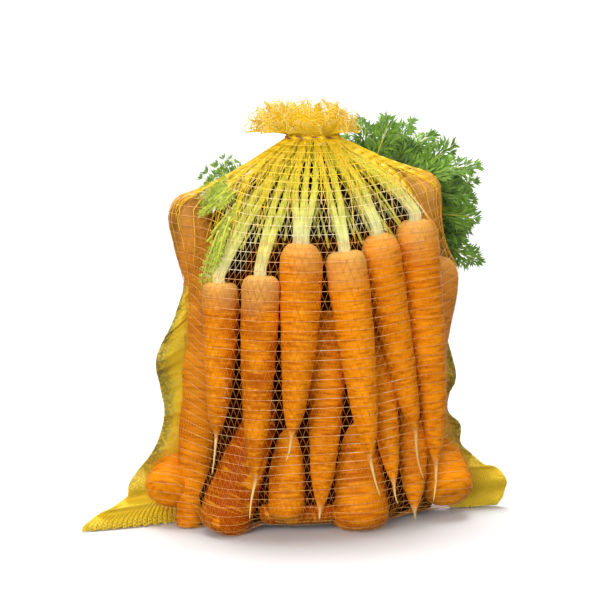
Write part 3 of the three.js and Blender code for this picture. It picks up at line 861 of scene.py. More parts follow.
def flap_place(free, held, layer):
    """Where a seam flap is at a row from the body to its free edge and a turn from its top to its tail."""
    edges = [smooth_path(MM * np.array(edge), EDGE_STEPS) for edge in (held, free)]
    run = np.linalg.norm(np.diff(edges[1], axis=0), axis=-1).cumsum()
    marks = np.append(0, run) / run[-1]

    def place(row, turn):
        row = np.clip(row, 0, 1)
        turn = np.clip(turn, 0, 1)
        inner, outer = (
            np.stack([np.interp(turn, marks, edge[:, k]) for k in range(3)], axis=-1) for edge in edges)
        points = lerp(inner, outer, row[..., None])
        slow = np.sqrt(np.sin(math.pi * turn))
        stray = wander(turn, (WAVE_STRAY, 1, 0)) + LAYER_STRAY * layer
        wave = np.sin(FULL_TURN * FLAP_WAVES * turn + stray)
        stray = wander(turn, (1, PUCKER_STRAYS, 0)) + PUCKER_SLANT * row
        pucker = np.sin(FULL_TURN * FLAP_PUCKERS * turn + stray)
        bulge = np.sin(math.pi * row ** FLAP_FULLNESS)
        taut = 1 - TAIL_SMOOTH * smoothstep(turn, *TAIL_TAUT)
        points[..., 1] += FLAP_WAVE_DEPTH * row * wave * slow + FLAP_PUCKER_DEPTH * row * pucker * taut
        points[..., 1] += layer * FLAP_THICKNESS / 2 * bulge
        points[..., 2] = np.maximum(points[..., 2], FLOOR_CLEAR)
        edge = smoothstep(row, *SHADED_ROWS) * (1 - smoothstep(turn, *TAIL_LIT))
        return points, -lerp(FLAP_SHADE, 1, edge), np.full_like(row, FLAP_SLACK)

    return place


def keep_folded(name, points, tint, material):
    """Keeps a thin sheet of net that lies folded many layers deep."""
    sheet = shaped_grid(name, points, {"tint": tint})
    bpy.ops.object.modifier_add(type="SOLIDIFY")
    sheet.modifiers[0].thickness = FOLD_THICKNESS
    bpy.ops.object.modifier_apply(modifier=sheet.modifiers[0].name)
    keep(sheet, "net_sack", material)


# Leaves: sprays behind the sack, each a bundle of stems and the fronds that leave it in turn.
NECK_BACK = np.array((0, 24, 324)) * MM
BUNDLE_BOW = np.array((0, 8, 16)) * MM
BUNDLE_STEPS = 24
SPRAYS = (
    # Where the bundle ends, the middle of the fan, fronds, their width, stems, where along the bundle the
    # first frond leaves it, pinnae and leaflets on each, a leaflet's size, and how far the fan's tips reach
    # at each angle.
    SimpleNamespace(
        end=(102, 88, 246), middle=(75, 90, 264), fronds=72, width=24, stems=8, first=0.42, pairs=(9, 5),
        leaflet=1, reach=(
            (132, 80), (118, 89), (107, 82), (96, 81), (86, 78), (76, 77), (66, 74), (57, 76), (45, 74),
            (32, 80), (24, 74), (15, 76), (8, 67), (2, 71), (-8, 68), (-15, 68), (-25, 78), (-36, 92),
            (-46, 60))),
    SimpleNamespace(
        end=(-66, 62, 262), middle=(-66, 62, 274), fronds=6, width=9, stems=2, first=0.9, pairs=(5, 3),
        leaflet=0.7, reach=((98, 36), (111, 39), (124, 35), (137, 37), (149, 38))),
)
FROND_RINGS = (1.0, 0.62, 0.78, 0.45, 0.7, 0.55)  # shares of the fan's reach that fronds take in turn
FROND_DEPTH = 56 * MM
FROND_FOOT = np.array((0, 0.3, 0))  # share of a frond's depth that its foot has
FROND_FACING = np.array((0, -1, 0.3))
FACING_SPREAD = 0.9
WIDTH_SPREAD = 0.4
FROND_STEPS = 12
FROND_ARCH = 0.14  # shares of a frond's length that it arches and strays aside
FROND_STRAY = 0.1
FROND_ENDS = (0.2, 0.93)  # shares of an arc that the pinnae's lengths follow, from foot to tip
FROND_FULLNESS = 0.8
FIRST_PINNA = 0.16
PINNA_SHARE = 0.6
PINNA_SWEEP = math.radians(38)
PINNA_STRAY = SimpleNamespace(sweep=0.35, droop=0.5, twist=0.6)
FIRST_LEAFLET = 0.6
LEAFLET_SWEEP = math.radians(30)
LEAFLET_STRAY = 0.5
LEAFLET_TAPER = 0.72
LEAFLET_SIZES = (0.8, 1.2)
END_LEAFLETS = (-0.6, 0, 0.6)
# A narrow pointed leaflet folded along its middle: shares of its length, half width and fold.
LEAFLET = np.array(((0, 0, 0), (0.42, 0.5, 0.06), (1, 0, -0.05), (0.42, -0.5, 0.06)))
LEAFLET_FACES = np.array(((0, 2, 1), (0, 3, 2)))
LEAFLET_WIDTH = 0.19


def frond_arrays(frond, number, leaflet_length):
    """One feathery frond: its leaflets' points and its rib's path."""
    pinna_pairs, leaflet_pairs = frond.pairs
    leaflet_length = frond.leaflet * leaflet_length
    random = np.random.default_rng(number)

    def stray(width):
        return width * (random.random() - 0.5)

    way = frond.tip - frond.base
    length = np.linalg.norm(way)
    ahead = unit(way)
    side = unit(np.cross(ahead, frond.facing))
    normal = np.cross(side, ahead)
    arch = length * (FROND_ARCH * normal + stray(FROND_STRAY) * side)
    share = np.linspace(0, 1, FROND_STEPS)
    rib = frond.base + share[:, None] * way + np.sin(math.pi * share)[:, None] * arch
    leaflets = []
    for pair in range(pinna_pairs + 1):
        at = lerp(FIRST_PINNA, 1, pair / pinna_pairs)
        foot = np.array([np.interp(at, share, rib[:, k]) for k in range(3)])
        slope = unit(way + math.pi * math.cos(math.pi * at) * arch)
        fullness = math.sin(math.pi * lerp(*FROND_ENDS, at ** FROND_FULLNESS)) ** FROND_FULLNESS
        reach = frond.width * PINNA_SHARE * fullness
        for hand in ((-1, 1) if pair < pinna_pairs else (0,)):
            turn = hand * (PINNA_SWEEP + stray(PINNA_STRAY.sweep))
            droop = stray(PINNA_STRAY.droop)
            pinna = unit(slope * math.cos(turn) + side * math.sin(turn) + normal * droop)
            across = unit(np.cross(normal + stray(PINNA_STRAY.twist) * side, pinna))
            off = np.cross(pinna, across)
            for k in range(leaflet_pairs):
                step = (k + FIRST_LEAFLET) / leaflet_pairs
                stem = foot + pinna * reach * step
                size = leaflet_length * lerp(1, LEAFLET_TAPER, step) * lerp(*LEAFLET_SIZES, random.random())
                for side_hand in ((-1, 1) if k < leaflet_pairs - 1 else END_LEAFLETS):
                    lean = side_hand * (LEAFLET_SWEEP + stray(LEAFLET_STRAY))
                    along = pinna * math.cos(lean) + across * math.sin(lean) + off * stray(LEAFLET_STRAY)
                    along = unit(along)
                    wide = unit(np.cross(off, along))
                    axes = np.stack((along, LEAFLET_WIDTH * wide, np.cross(along, wide)))
                    leaflets.append(stem + size * LEAFLET @ axes)
    return np.array(leaflets), rib


def spray_fronds(spray, number):
    """Place and form of each frond of a spray, and the curve of its bundle."""
    end, middle = (MM * np.array(value) for value in (spray.end, spray.middle))
    angles, reach = np.array(spray.reach).T
    share = np.linspace(0, 1, BUNDLE_STEPS)[:, None]
    bow = (NECK_BACK + end) / 2 + BUNDLE_BOW
    bundle = (1 - share) ** 2 * NECK_BACK + 2 * share * (1 - share) * bow + share ** 2 * end
    fronds = []
    for k in range(spray.fronds):
        place = (k + 0.5) / spray.fronds * (len(angles) - 1)
        fan = math.radians(np.interp(place, np.arange(len(angles)), angles))
        ring = FROND_RINGS[k % len(FROND_RINGS)] if spray.fronds > len(FROND_RINGS) else 1
        stretch = MM * np.interp(place, np.arange(len(angles)), reach) * ring
        depth = FROND_DEPTH * jitter(k, number + 2)
        tip = middle + np.array((stretch * math.cos(fan), depth, stretch * math.sin(fan)))
        at = lerp(spray.first, 1, k / (spray.fronds - 1)) * (len(bundle) - 1)
        turned = FACING_SPREAD * np.array((jitter(k, number + 3), 0, jitter(k, number + 4)))
        fronds.append(SimpleNamespace(
            base=bundle[int(at)] + depth * FROND_FOOT, tip=tip, facing=unit(FROND_FACING + turned),
            width=MM * spray.width * (1 + WIDTH_SPREAD * jitter(k, number + 5)), light=ring,
            pairs=spray.pairs, leaflet=spray.leaflet))
    return fronds, bundle


# Thin sprigs inside the net, left of the first carrot's stalks, and thin stems between the others.
INNER_SPRIGS = (
    # Sprigs, where their tips hang from and to, their depth behind the net, how far up they start, width.
    (6, (-95, 206), (-81, 218), 16, 46, 3),
    (4, (-82, 244), (-64, 264), 32, 26, 4),
    (8, (-102, 277), (-76, 285), 20, 12, 4),
)
SPRIG_SPREAD = (18, 8)  # of the tips' heights and depths
SPRIG_DRAWN = 0.84  # share of its place across that a sprig's foot has
SPRIG_FOOT = 4
SPRIG_FACING = np.array((0, -1, 0.4))
SPRIG_TURN = np.array((0.5, 0, 0))
INNER_PAIRS = (7, 2)
INNER_LEAFLET = 0.45
INNER_LIGHT = 0.65
INNER_STEMS = 34
STEM_SPAN = (-104, 88)
STEM_STRAY = 0.02
STEM_HEIGHT = (252 * MM, 22 * MM)  # of the stems' feet, and its spread
STEM_DEPTH = (26 * MM, 8 * MM)
STEM_TIE = (0.2, 0.3)  # shares of its place across and of the neck's depth that a stem has at the tie
STEM_BOW = (10 * MM, 4 * MM)  # aside and up
STEM_STEPS = 12
THIN_STEM = (1.0 * MM, 0.7 * MM)
LEFT_SHOULDER = (84 * MM, 98 * MM)
SHOULDER_LIFT = 20 * MM  # of the stems that lie over the left shoulder


def inner_sprigs():
    """Place and form of the leaves that hang inside the net at the left shoulder."""
    sprigs = []
    for count, first, last, depth, rise, width in INNER_SPRIGS:
        for k in range(count):
            across, height = lerp(np.array(first), np.array(last), (k + 0.5) / count)
            height = height + SPRIG_SPREAD[0] * jitter(k, 2)
            tip_depth = depth + SPRIG_SPREAD[1] * jitter(k, 3)
            top = min((height + rise) * MM, TIE_HEIGHT - STALK_END)
            sprigs.append(SimpleNamespace(
                base=behind_front(SPRIG_DRAWN * across * MM, top, (depth + SPRIG_FOOT) * MM),
                tip=behind_front(across * MM, height * MM, tip_depth * MM), width=width * MM,
                facing=unit(SPRIG_FACING + jitter(k, 4) * SPRIG_TURN), light=INNER_LIGHT, pairs=INNER_PAIRS,
                leaflet=INNER_LEAFLET))
    return sprigs


def inner_stems():
    """Paths of the thin stems that run down from the neck behind the stalks."""
    paths = []
    for k in range(INNER_STEMS):
        across = MM * lerp(*STEM_SPAN, (k + 0.5) / INNER_STEMS + STEM_STRAY * jitter(k, 1))
        height = STEM_HEIGHT[0] + STEM_HEIGHT[1] * jitter(k, 2)
        height = height + SHOULDER_LIFT * smoothstep(-across, *LEFT_SHOULDER)
        foot = behind_front(across, height, STEM_DEPTH[0] + STEM_DEPTH[1] * jitter(k, 3))
        end = np.array((STEM_TIE[0] * across, -STEM_TIE[1] * NECK_HALF[1], TIE_HEIGHT - STALK_END))
        middle = (foot + end) / 2 + np.array((STEM_BOW[0] * jitter(k, 4), 0, STEM_BOW[1]))
        paths.append(smooth_path((foot, middle, end), STEM_STEPS))
    return paths


# Materials. Mix sockets for colours, by number, because its sockets share their names.
MIX_A, MIX_B, MIX_OUT = 6, 7, 2


def add_node(tree, kind, inputs=None, output=0, **settings):
    """Adds a node with its settings and gives an output; an input is a value, or an output to link."""
    node = tree.nodes.new("ShaderNode" + kind)
    for name, value in settings.items():
        setattr(node, name, value)
    for name, value in (inputs or {}).items():
        if isinstance(value, bpy.types.NodeSocket):
            tree.links.new(value, node.inputs[name])
        else:
            node.inputs[name].default_value = value
    return node.outputs[output] if node.outputs else None


def new_material(name):
    """An empty node material and its tree."""
    material = bpy.data.materials.new(name)
    material.use_nodes = True
    material.node_tree.nodes.clear()
    return material, material.node_tree


def opaque(colour):
    """A colour with full alpha."""
    return (*colour, 1)


def carrot_skin(colours):
    """Washed carrot skin: a satin orange skin with fine rings across it, dusty crowns and a pale root; its
    darker patches and browned crowns are partly painted shade.
    """
    material, tree = new_material("washed_carrot_skin")
    along, share, tone, dust_mark, dirt_and_shade_mark = (
        add_node(tree, "Attribute", output="Fac", attribute_name=mark)
        for mark in ("along", "share", "tone", "dust", "soil_and_shade"))
    place = add_node(tree, "TexCoord", output="Object")
    around = add_node(tree, "SeparateXYZ", {0: add_node(tree, "UVMap", uv_map="UVMap")})
    # Rings about 2.6 mm apart, broken five times round, and others on a carrot of another tone.
    turn = add_node(tree, "Math", {0: around, 1: 5.0}, operation="MULTIPLY")
    up = add_node(tree, "Math", {0: along, 1: 1 / (2.6 * MM)}, operation="MULTIPLY")
    offset = add_node(tree, "Math", {0: tone, 1: 40.0}, operation="MULTIPLY")
    lines = add_node(tree, "CombineXYZ", {0: turn, 1: up, 2: offset})
    rings = add_node(tree, "TexNoise", {"Vector": lines, "Scale": 1.0, "Detail": 2.0, "Roughness": 0.6})
    pale = add_node(tree, "MapRange", {"Value": rings, "From Min": 0.47, "From Max": 0.33, "To Max": 0.6})
    dark = add_node(tree, "MapRange", {"Value": rings, "From Min": 0.5, "From Max": 0.66, "To Max": 0.65})
    patches = add_node(tree, "TexNoise", {"Vector": place, "Scale": 1 / (26 * MM), "Detail": 3.0})
    patch = add_node(tree, "MapRange", {"Value": patches, "From Min": 0.38, "From Max": 0.68})
    # Darker patches, and painted shade where a carrot's depth of colour is high.
    deeper_and_shaded = add_node(tree, "Math", {0: patch, 1: tone}, operation="MULTIPLY")
    # The dust thins out from the crown, with an uneven edge.
    edge = add_node(tree, "Math", {0: patches, 1: 1.1, 2: dust_mark}, operation="MULTIPLY_ADD")
    dust = add_node(tree, "MapRange", {"Value": edge, "From Min": 0.45, "From Max": 1.5, "To Max": 0.9})
    # Dirt, and painted shade on the left dome, browns the crown.
    patchy = add_node(tree, "MapRange", {"Value": patch, "To Min": 0.55})
    soil_and_shade = add_node(tree, "Math", {0: dirt_and_shade_mark, 1: patchy}, operation="MULTIPLY")
    clean, soiled = opaque(colours.crown), opaque(colours.crown_brown_and_shaded)
    crown = add_node(tree, "Mix", {"Factor": soil_and_shade, MIX_A: clean, MIX_B: soiled}, MIX_OUT, data_type="RGBA")
    thin = add_node(tree, "MapRange", {"Value": share, "From Min": 0.96, "From Max": 1.03})
    # Colours laid over one another, each with how much of it shows.
    skin = opaque(colours.carrot)
    deep = opaque(colours.carrot_deep_and_shaded)
    layers = ((deeper_and_shaded, deep), (pale, opaque(colours.carrot_pale)), (dark, deep), (dust, crown),
              (thin, opaque(colours.root)))
    for cover, over in layers:
        skin = add_node(tree, "Mix", {"Factor": cover, MIX_A: skin, MIX_B: over}, MIX_OUT, data_type="RGBA")
    rough = add_node(tree, "MapRange", {"Value": dust, "To Min": 0.36, "To Max": 0.7})
    bump = add_node(tree, "Bump", {"Height": rings, "Strength": 0.4, "Distance": 0.8 * MM})
    shader = add_node(tree, "BsdfPrincipled", {
        "Base Color": skin, "Roughness": rough, "Normal": bump, "IOR": 1.38, "Specular IOR Level": 0.06})
    add_node(tree, "OutputMaterial", {"Surface": shader})
    return material


def leaf_stalk(colours):
    """Fresh leaf stalk: ribbed, a little glossy, nearly white at the foot and yellow-green above."""
    material, tree = new_material("fresh_leaf_stalk")
    share = add_node(tree, "Attribute", output="Fac", attribute_name="share")
    place = add_node(tree, "TexCoord", output="Object")
    around = add_node(tree, "SeparateXYZ", {0: add_node(tree, "UVMap", uv_map="UVMap")})
    # Eleven ribs, about 2 mm apart round a stalk of 7 mm.
    rib_turn = add_node(tree, "Math", {0: around, 1: 11 * FULL_TURN}, operation="MULTIPLY")
    ribs = add_node(tree, "Math", {0: rib_turn}, operation="SINE")
    streaks = add_node(tree, "TexNoise", {"Vector": place, "Scale": 1 / (9 * MM), "Detail": 2.0})
    shade = add_node(tree, "MapRange", {
        "Value": streaks, "From Min": 0.35, "From Max": 0.7, "To Min": 0.78, "To Max": 1.08})
    up = add_node(tree, "MapRange", {"Value": share, "From Min": 0.12, "From Max": 0.5})
    foot, stalk = opaque(colours.stalk_foot), opaque(colours.stalk)
    green = add_node(tree, "Mix", {"Factor": up, MIX_A: foot, MIX_B: stalk}, MIX_OUT, data_type="RGBA")
    final = add_node(tree, "Mix", {"Factor": 1.0, MIX_A: green, MIX_B: shade}, MIX_OUT, data_type="RGBA",
                     blend_type="MULTIPLY")
    bump = add_node(tree, "Bump", {"Height": ribs, "Strength": 0.5, "Distance": 0.4 * MM})
    shader = add_node(tree, "BsdfPrincipled", {
        "Base Color": final, "Roughness": 0.42, "Normal": bump, "IOR": 1.4, "Subsurface Weight": 0.15,
        "Subsurface Radius": (1.0, 1.0, 0.3), "Subsurface Scale": 2 * MM})
    add_node(tree, "OutputMaterial", {"Surface": shader})
    return material


def carrot_leaf(name, deep, light):
    """Fresh carrot leaf: thin satin blades, some darker and some paler, the darker partly painted shade deep
    in a fan, with soft gloss.
    """
    material, tree = new_material(name)
    tone = add_node(tree, "Attribute", output="Fac", attribute_name="tone")
    place = add_node(tree, "TexCoord", output="Object")
    blotch = add_node(tree, "TexNoise", {"Vector": place, "Scale": 1 / (14 * MM), "Detail": 2.0})
    uneven = add_node(tree, "Math", {0: blotch, 1: 0.9, 2: tone}, operation="MULTIPLY_ADD")
    share = add_node(tree, "MapRange", {"Value": uneven, "From Min": 0.45, "From Max": 1.35})
    final = add_node(
        tree, "Mix", {"Factor": share, MIX_A: opaque(deep), MIX_B: opaque(light)}, MIX_OUT, data_type="RGBA")
    bump = add_node(tree, "Bump", {"Height": blotch, "Strength": 0.3, "Distance": 0.4 * MM})
    shader = add_node(tree, "BsdfPrincipled", {
        "Base Color": final, "Roughness": 0.46, "Normal": bump, "IOR": 1.42})
    add_node(tree, "OutputMaterial", {"Surface": shader})
    return material


def tape_yarn(colours):
    """Knitted polyethylene tape, glossy and thin, with light and shade painted into its colour: pale with a
    painted highlight where it hangs free, a carrot's orange painted through it where it lies on one, full
    yellow of painted light through the layers where they gather, and painted olive shade at a seam's outer
    edge."""
    material, tree = new_material("knitted_polyethylene_tape")
    gather, tint = (
        add_node(tree, "Attribute", output="Fac", attribute_name=mark) for mark in ("gather", "tint"))
    place = add_node(tree, "TexCoord", output="Object")
    streaks = add_node(tree, "TexNoise", {"Vector": place, "Scale": 1 / (5 * MM), "Detail": 2.0})
    uneven = add_node(tree, "Math", {0: streaks, 1: 0.5, 2: gather}, operation="MULTIPLY_ADD")
    dense = add_node(tree, "MapRange", {"Value": uneven, "From Min": 0.25, "From Max": 0.95})
    # The carrot's orange painted through the yarn where it lies on one.
    painted_through = add_node(tree, "MapRange", {"Value": tint})
    shaded = add_node(tree, "MapRange", {"Value": tint, "From Min": 0.0, "From Max": -1.0})
    # Painted shade in the holes of folded layers, about 2.6 mm apart, coarser than the real ones, which are
    # too fine to draw.
    holes = add_node(tree, "TexVoronoi", {"Vector": place, "Scale": 1 / (2.6 * MM)}, "Distance")
    dots = add_node(tree, "MapRange", {"Value": holes, "From Min": 0.25, "From Max": 0.6, "To Min": 0.3})
    dotted = add_node(tree, "Math", {0: shaded, 1: dots}, operation="MULTIPLY")
    # Colours laid over one another, each with how much of it shows.
    yarn = opaque(colours.yarn_single)
    layers = ((painted_through, colours.yarn_painted_through), (dense, colours.yarn_dense), (dotted, colours.yarn_shaded))
    for cover, over in layers:
        yarn = add_node(
            tree, "Mix", {"Factor": cover, MIX_A: yarn, MIX_B: opaque(over)}, MIX_OUT, data_type="RGBA")
    bump = add_node(tree, "Bump", {"Height": streaks, "Strength": 0.2, "Distance": 0.2 * MM})
    shader = add_node(tree, "BsdfPrincipled", {
        "Base Color": yarn, "Roughness": 0.36, "Normal": bump, "IOR": 1.5})
    add_node(tree, "OutputMaterial", {"Surface": shader})
    return material


def layered_net(colours):
    """Net folded many layers deep: a satin yellow cloth, dotted by painted shade in its holes and painted
    olive shade at its edge.
    """
    material, tree = new_material("layered_net")
    tint = add_node(tree, "Attribute", output="Fac", attribute_name="tint")
    place = add_node(tree, "TexCoord", output="Object")
    # Painted shade in holes about 2.4 mm apart, coarser than the real ones, which are too fine to draw.
    holes = add_node(tree, "TexVoronoi", {"Vector": place, "Scale": 1 / (2.4 * MM)}, "Distance")
    dots = add_node(tree, "MapRange", {"Value": holes, "From Min": 0.25, "From Max": 0.6})
    # Painted olive shade towards the outer edge.
    edge = add_node(tree, "MapRange", {"Value": tint, "From Min": 0.0, "From Max": -1.0, "To Max": 0.9})
    ridge, rim = opaque(colours.yarn_dense), opaque(colours.yarn_shaded)
    cloth = add_node(tree, "Mix", {"Factor": edge, MIX_A: ridge, MIX_B: rim}, MIX_OUT, data_type="RGBA")
    # The painted shade in the holes deepens towards the outer edge.
    depth = add_node(tree, "MapRange", {"Value": edge, "To Min": 0.75, "To Max": 0.5})
    shade = add_node(tree, "MapRange", {"Value": dots, "To Min": 1.0, "To Max": depth})
    final = add_node(tree, "Mix", {"Factor": 1.0, MIX_A: cloth, MIX_B: shade}, MIX_OUT, data_type="RGBA",
                     blend_type="MULTIPLY")
    bump = add_node(tree, "Bump", {"Height": dots, "Strength": 0.4, "Distance": 0.3 * MM})
    shader = add_node(tree, "BsdfPrincipled", {
        "Base Color": final, "Roughness": 0.5, "Normal": bump, "IOR": 1.5})
    add_node(tree, "OutputMaterial", {"Surface": shader})
    return material


def tie_yarn(colours):
    """Twisted polyethylene cord: the net's yarn twisted hard, with slanting strands; its dark colour is
    painted shade of the crease at the neck.
    """
    material, tree = new_material("twisted_polyethylene_cord")
    place = add_node(tree, "TexCoord", output="Object")
    # Strands about 1.5 mm wide, drawn as slanting bands.
    tilt = add_node(tree, "Mapping", {"Vector": place, "Rotation": (0.6, 0.5, 0.4)})
    strands = add_node(
        tree, "TexWave", {"Vector": tilt, "Scale": 0.05 / (1.5 * MM), "Distortion": 1.0}, "Fac")
    # The cord's dark colour is painted shade.
    dark, bright = opaque(colours.tie), opaque(colours.yarn_dense)
    final = add_node(tree, "Mix", {"Factor": strands, MIX_A: dark, MIX_B: bright}, MIX_OUT, data_type="RGBA")
    bump = add_node(tree, "Bump", {"Height": strands, "Strength": 0.6, "Distance": 0.4 * MM})
    shader = add_node(tree, "BsdfPrincipled", {
        "Base Color": final, "Roughness": 0.45, "Normal": bump, "IOR": 1.5})
    add_node(tree, "OutputMaterial", {"Surface": shader})
    return material


# The filling's colours are painted shade between the carrots, darker still in patches.
FILLING_DIM = 0.35  # share of its colour that the filling has in its darkest patches


def shaded_filling(colours):
    """The filling seen between the front carrots: dim brown-red skin in shade, greener above the crowns."""
    material, tree = new_material("shaded_filling")
    place = add_node(tree, "TexCoord", output="Object")
    patches = add_node(tree, "TexNoise", {"Vector": place, "Scale": 1 / (30 * MM), "Detail": 3.0})
    height = add_node(tree, "SeparateXYZ", {0: place}, "Z")
    top = add_node(tree, "MapRange", {"Value": height, "From Min": 215 * MM, "From Max": 260 * MM})
    final = opaque(FILLING_DIM * value for value in colours.filling)
    for cover, over in ((patches, colours.filling), (top, colours.filling_top)):
        final = add_node(
            tree, "Mix", {"Factor": cover, MIX_A: final, MIX_B: opaque(over)}, MIX_OUT, data_type="RGBA")
    shader = add_node(tree, "BsdfPrincipled", {
        "Base Color": final, "Roughness": 0.8, "Specular IOR Level": 0.0})
    add_node(tree, "OutputMaterial", {"Surface": shader})
    return material


# On a dome the dust reaches further down; on the left dome its brown is painted shade.
DUST_REACH = (0.2, 0.75)  # how far the dust reaches down a carrot with a square shoulder and with a dome
ROUND_DUST = 0.6  # most dust on a round shoulder
NO_DUST = -1


class CARROT_SACK_OT_carrots(bpy.types.Operator):
    """Models the carrots, each from a grid drawn round its own axis"""
    bl_idname = "carrot_sack.carrots"
    bl_label = "Add carrots"

    def execute(self, context):
        pieces = []
        for number, carrot in enumerate(all_carrots()):
            points, share, distance = carrot_surface(carrot, number, CARROT_RINGS, CARROT_SIDES)
            dome = max(carrot.shoulder - 1, 0)
            dusty = carrot.stalks or carrot.soil_and_shade
            most = lerp(1, ROUND_DUST, min(carrot.shoulder, 1) * (1 - dome)) if dusty else NO_DUST
            pieces.append(shaped_grid("carrot", points, {
                "share": share, "along": distance, "dust": most - share / lerp(*DUST_REACH, dome),
                "soil_and_shade": carrot.soil_and_shade, "tone": carrot.tone}))
        material = carrot_skin(context.scene.carrot_sack_colours)
        keep(joined("carrots", pieces), "net_sack", material)
        return {"FINISHED"}


class CARROT_SACK_OT_stalks(bpy.types.Operator):
    """Models the leaf stalks from the crowns up to the tie"""
    bl_idname = "carrot_sack.stalks"
    bl_label = "Add leaf stalks"

    def execute(self, context):
        paths = [path for carrot in all_carrots() for path in stalk_paths(carrot)]
        tubes = [tube_points(path, STALK_RADIUS, STALK_SIDES, RIDGE_HEIGHT) for path in paths]
        share = np.linspace(0, 1, len(tubes[0]))[:, None]
        keep_tubes("leaf_stalks", "net_sack", tubes, share, leaf_stalk(context.scene.carrot_sack_colours))
        return {"FINISHED"}


# Height, half width and half depth of the filling, clear of all that shows.
CORE_FORM = MM * np.array((
    (5, 106, 34), (24, 110, 58), (55, 90, 55), (210, 77, 52), (250, 86, 44), (274, 88, 36), (290, 62, 26),
    (312, 30, 14), (326, 18, 10)))
CORE_RINGS = 28
CORE_SIDES = 48


class CARROT_SACK_OT_filling(bpy.types.Operator):
    """Models the filling behind the carrots that show, dark with painted shade"""
    bl_idname = "carrot_sack.filling"
    bl_label = "Add filling"

    def execute(self, context):
        height = np.linspace(CORE_FORM[0, 0], CORE_FORM[-1, 0], CORE_RINGS)
        half_sizes_at = (np.interp(height, CORE_FORM[:, 0], CORE_FORM[:, k]) for k in (1, 2))
        # A ring of no size closes each end.
        half_width, half_depth = (np.pad(sizes, 1) for sizes in half_sizes_at)
        points = oval_rings(half_width, half_depth, np.pad(height, 1, mode="edge"), CORE_SIDES)
        piece = shaped_grid("filling", points, {})
        keep(piece, "net_sack", shaded_filling(context.scene.carrot_sack_colours))
        return {"FINISHED"}


class CARROT_SACK_OT_net(bpy.types.Operator):
    """Knits the net over the filling"""
    bl_idname = "carrot_sack.net"
    bl_label = "Add net"

    def execute(self, context):
        sizes = context.scene.carrot_sack_sizes
        material = tape_yarn(context.scene.carrot_sack_colours)
        place = net_place(all_carrots(), sizes.net_gap, sizes.net_rows)
        wefts, laces = knit(
            place, sizes.net_rows, sizes.net_columns, True, sizes.weft_width, sizes.lace_width)
        folds = (*neck_folds(place, sizes.net_columns), sizes.weft_width, WEFT_SECTION, False)
        for name, group in (("net_wefts", wefts), ("net_laces", laces), ("net_folds", folds)):
            keep(yarn_piece(name, [group]), "net_sack", material)
        return {"FINISHED"}


class CARROT_SACK_OT_frill(bpy.types.Operator):
    """Knits the frilled mouth above the tie and closes its throat"""
    bl_idname = "carrot_sack.frill"
    bl_label = "Add frill"

    def execute(self, context):
        sizes = context.scene.carrot_sack_sizes
        groups = []
        for layer in FRILL_LAYERS:
            groups += knit(
                frill_place(*layer), FRILL_ROWS, sizes.net_columns, True, sizes.weft_width, sizes.lace_width)
        piece = yarn_piece("frill", groups)
        keep(piece, "net_sack", bpy.data.materials["knitted_polyethylene_tape"])
        keep_folded("frill_throat", throat_points(), 0.0, layered_net(context.scene.carrot_sack_colours))
        return {"FINISHED"}


class CARROT_SACK_OT_flaps(bpy.types.Operator):
    """Knits the two seam flaps with their corner tails"""
    bl_idname = "carrot_sack.flaps"
    bl_label = "Add seam flaps"

    def execute(self, context):
        width = context.scene.carrot_sack_sizes.lace_width
        row, turn = np.meshgrid(*(np.linspace(0, 1, count) for count in FOLD_SHEET), indexing="ij")
        for name, free, held in FLAPS:
            points, tint, _ = flap_place(free, held, 0)(row, turn)
            keep_folded(name + "_fold", points, tint, bpy.data.materials["layered_net"])
            groups = []
            for layer in FLAP_LAYERS:
                groups += knit(flap_place(free, held, layer), FLAP_ROWS, FLAP_COLUMNS, False, width, width)
            piece = yarn_piece(name, groups)
            keep(piece, "net_sack", bpy.data.materials["knitted_polyethylene_tape"])
        return {"FINISHED"}


TIE_TURNS = (-1, 0, 1)  # places of the cord's turns, up from the neck's middle
TIE_PITCH = 0.9  # share of the cord's width from one turn to the next
TIE_STEPS = 48
TIE_SIDES = 8


class CARROT_SACK_OT_tie(bpy.types.Operator):
    """Winds the cord round the neck"""
    bl_idname = "carrot_sack.tie"
    bl_label = "Add tie"

    def execute(self, context):
        width = context.scene.carrot_sack_sizes.tie_width
        angle = np.linspace(0, FULL_TURN, TIE_STEPS, endpoint=False)
        out = np.stack((np.sin(angle), -np.cos(angle), np.zeros_like(angle)), axis=-1)
        ring = out * (*NECK_HALF, TIE_HEIGHT)
        ring[:, 1] += SKEW * ring[:, 0]
        lift = [(0, 0, TIE_HEIGHT + TIE_PITCH * width * turn) for turn in TIE_TURNS]
        lines = ring + width / 2 * out + np.array(lift)[:, None]
        normals = np.broadcast_to(out, lines.shape)
        plain = np.zeros(lines.shape[:2])
        around = np.linspace(0, FULL_TURN, TIE_SIDES, endpoint=False)
        section = np.stack((np.cos(around), np.sin(around)), axis=-1)
        piece = yarn_piece("tie_cord", [(lines, normals, plain, plain, width, section, True)])
        keep(piece, "net_sack", tie_yarn(context.scene.carrot_sack_colours))
        return {"FINISHED"}


RIB_RADIUS = (1.1 * MM, 0.4 * MM)
RIB_SIDES = 5
STEM_RADIUS = (2.0 * MM, 1.4 * MM)
STEM_SIDES = 6
STEMS_APART = 14 * MM
STEMS_BELLY = (0.1, 0.9)  # shares of an arc that the room between stems follows along a bundle
SPRAY_KINDS = 10  # kinds of jitter that each spray has to itself
# Leaflets are painted lighter on the outermost fronds and painted shade on the shorter ones deep in a fan.
FROND_TONE = 0.7  # of the outermost fronds
LEAFLET_TONE = 0.7  # spread from leaflet to leaflet


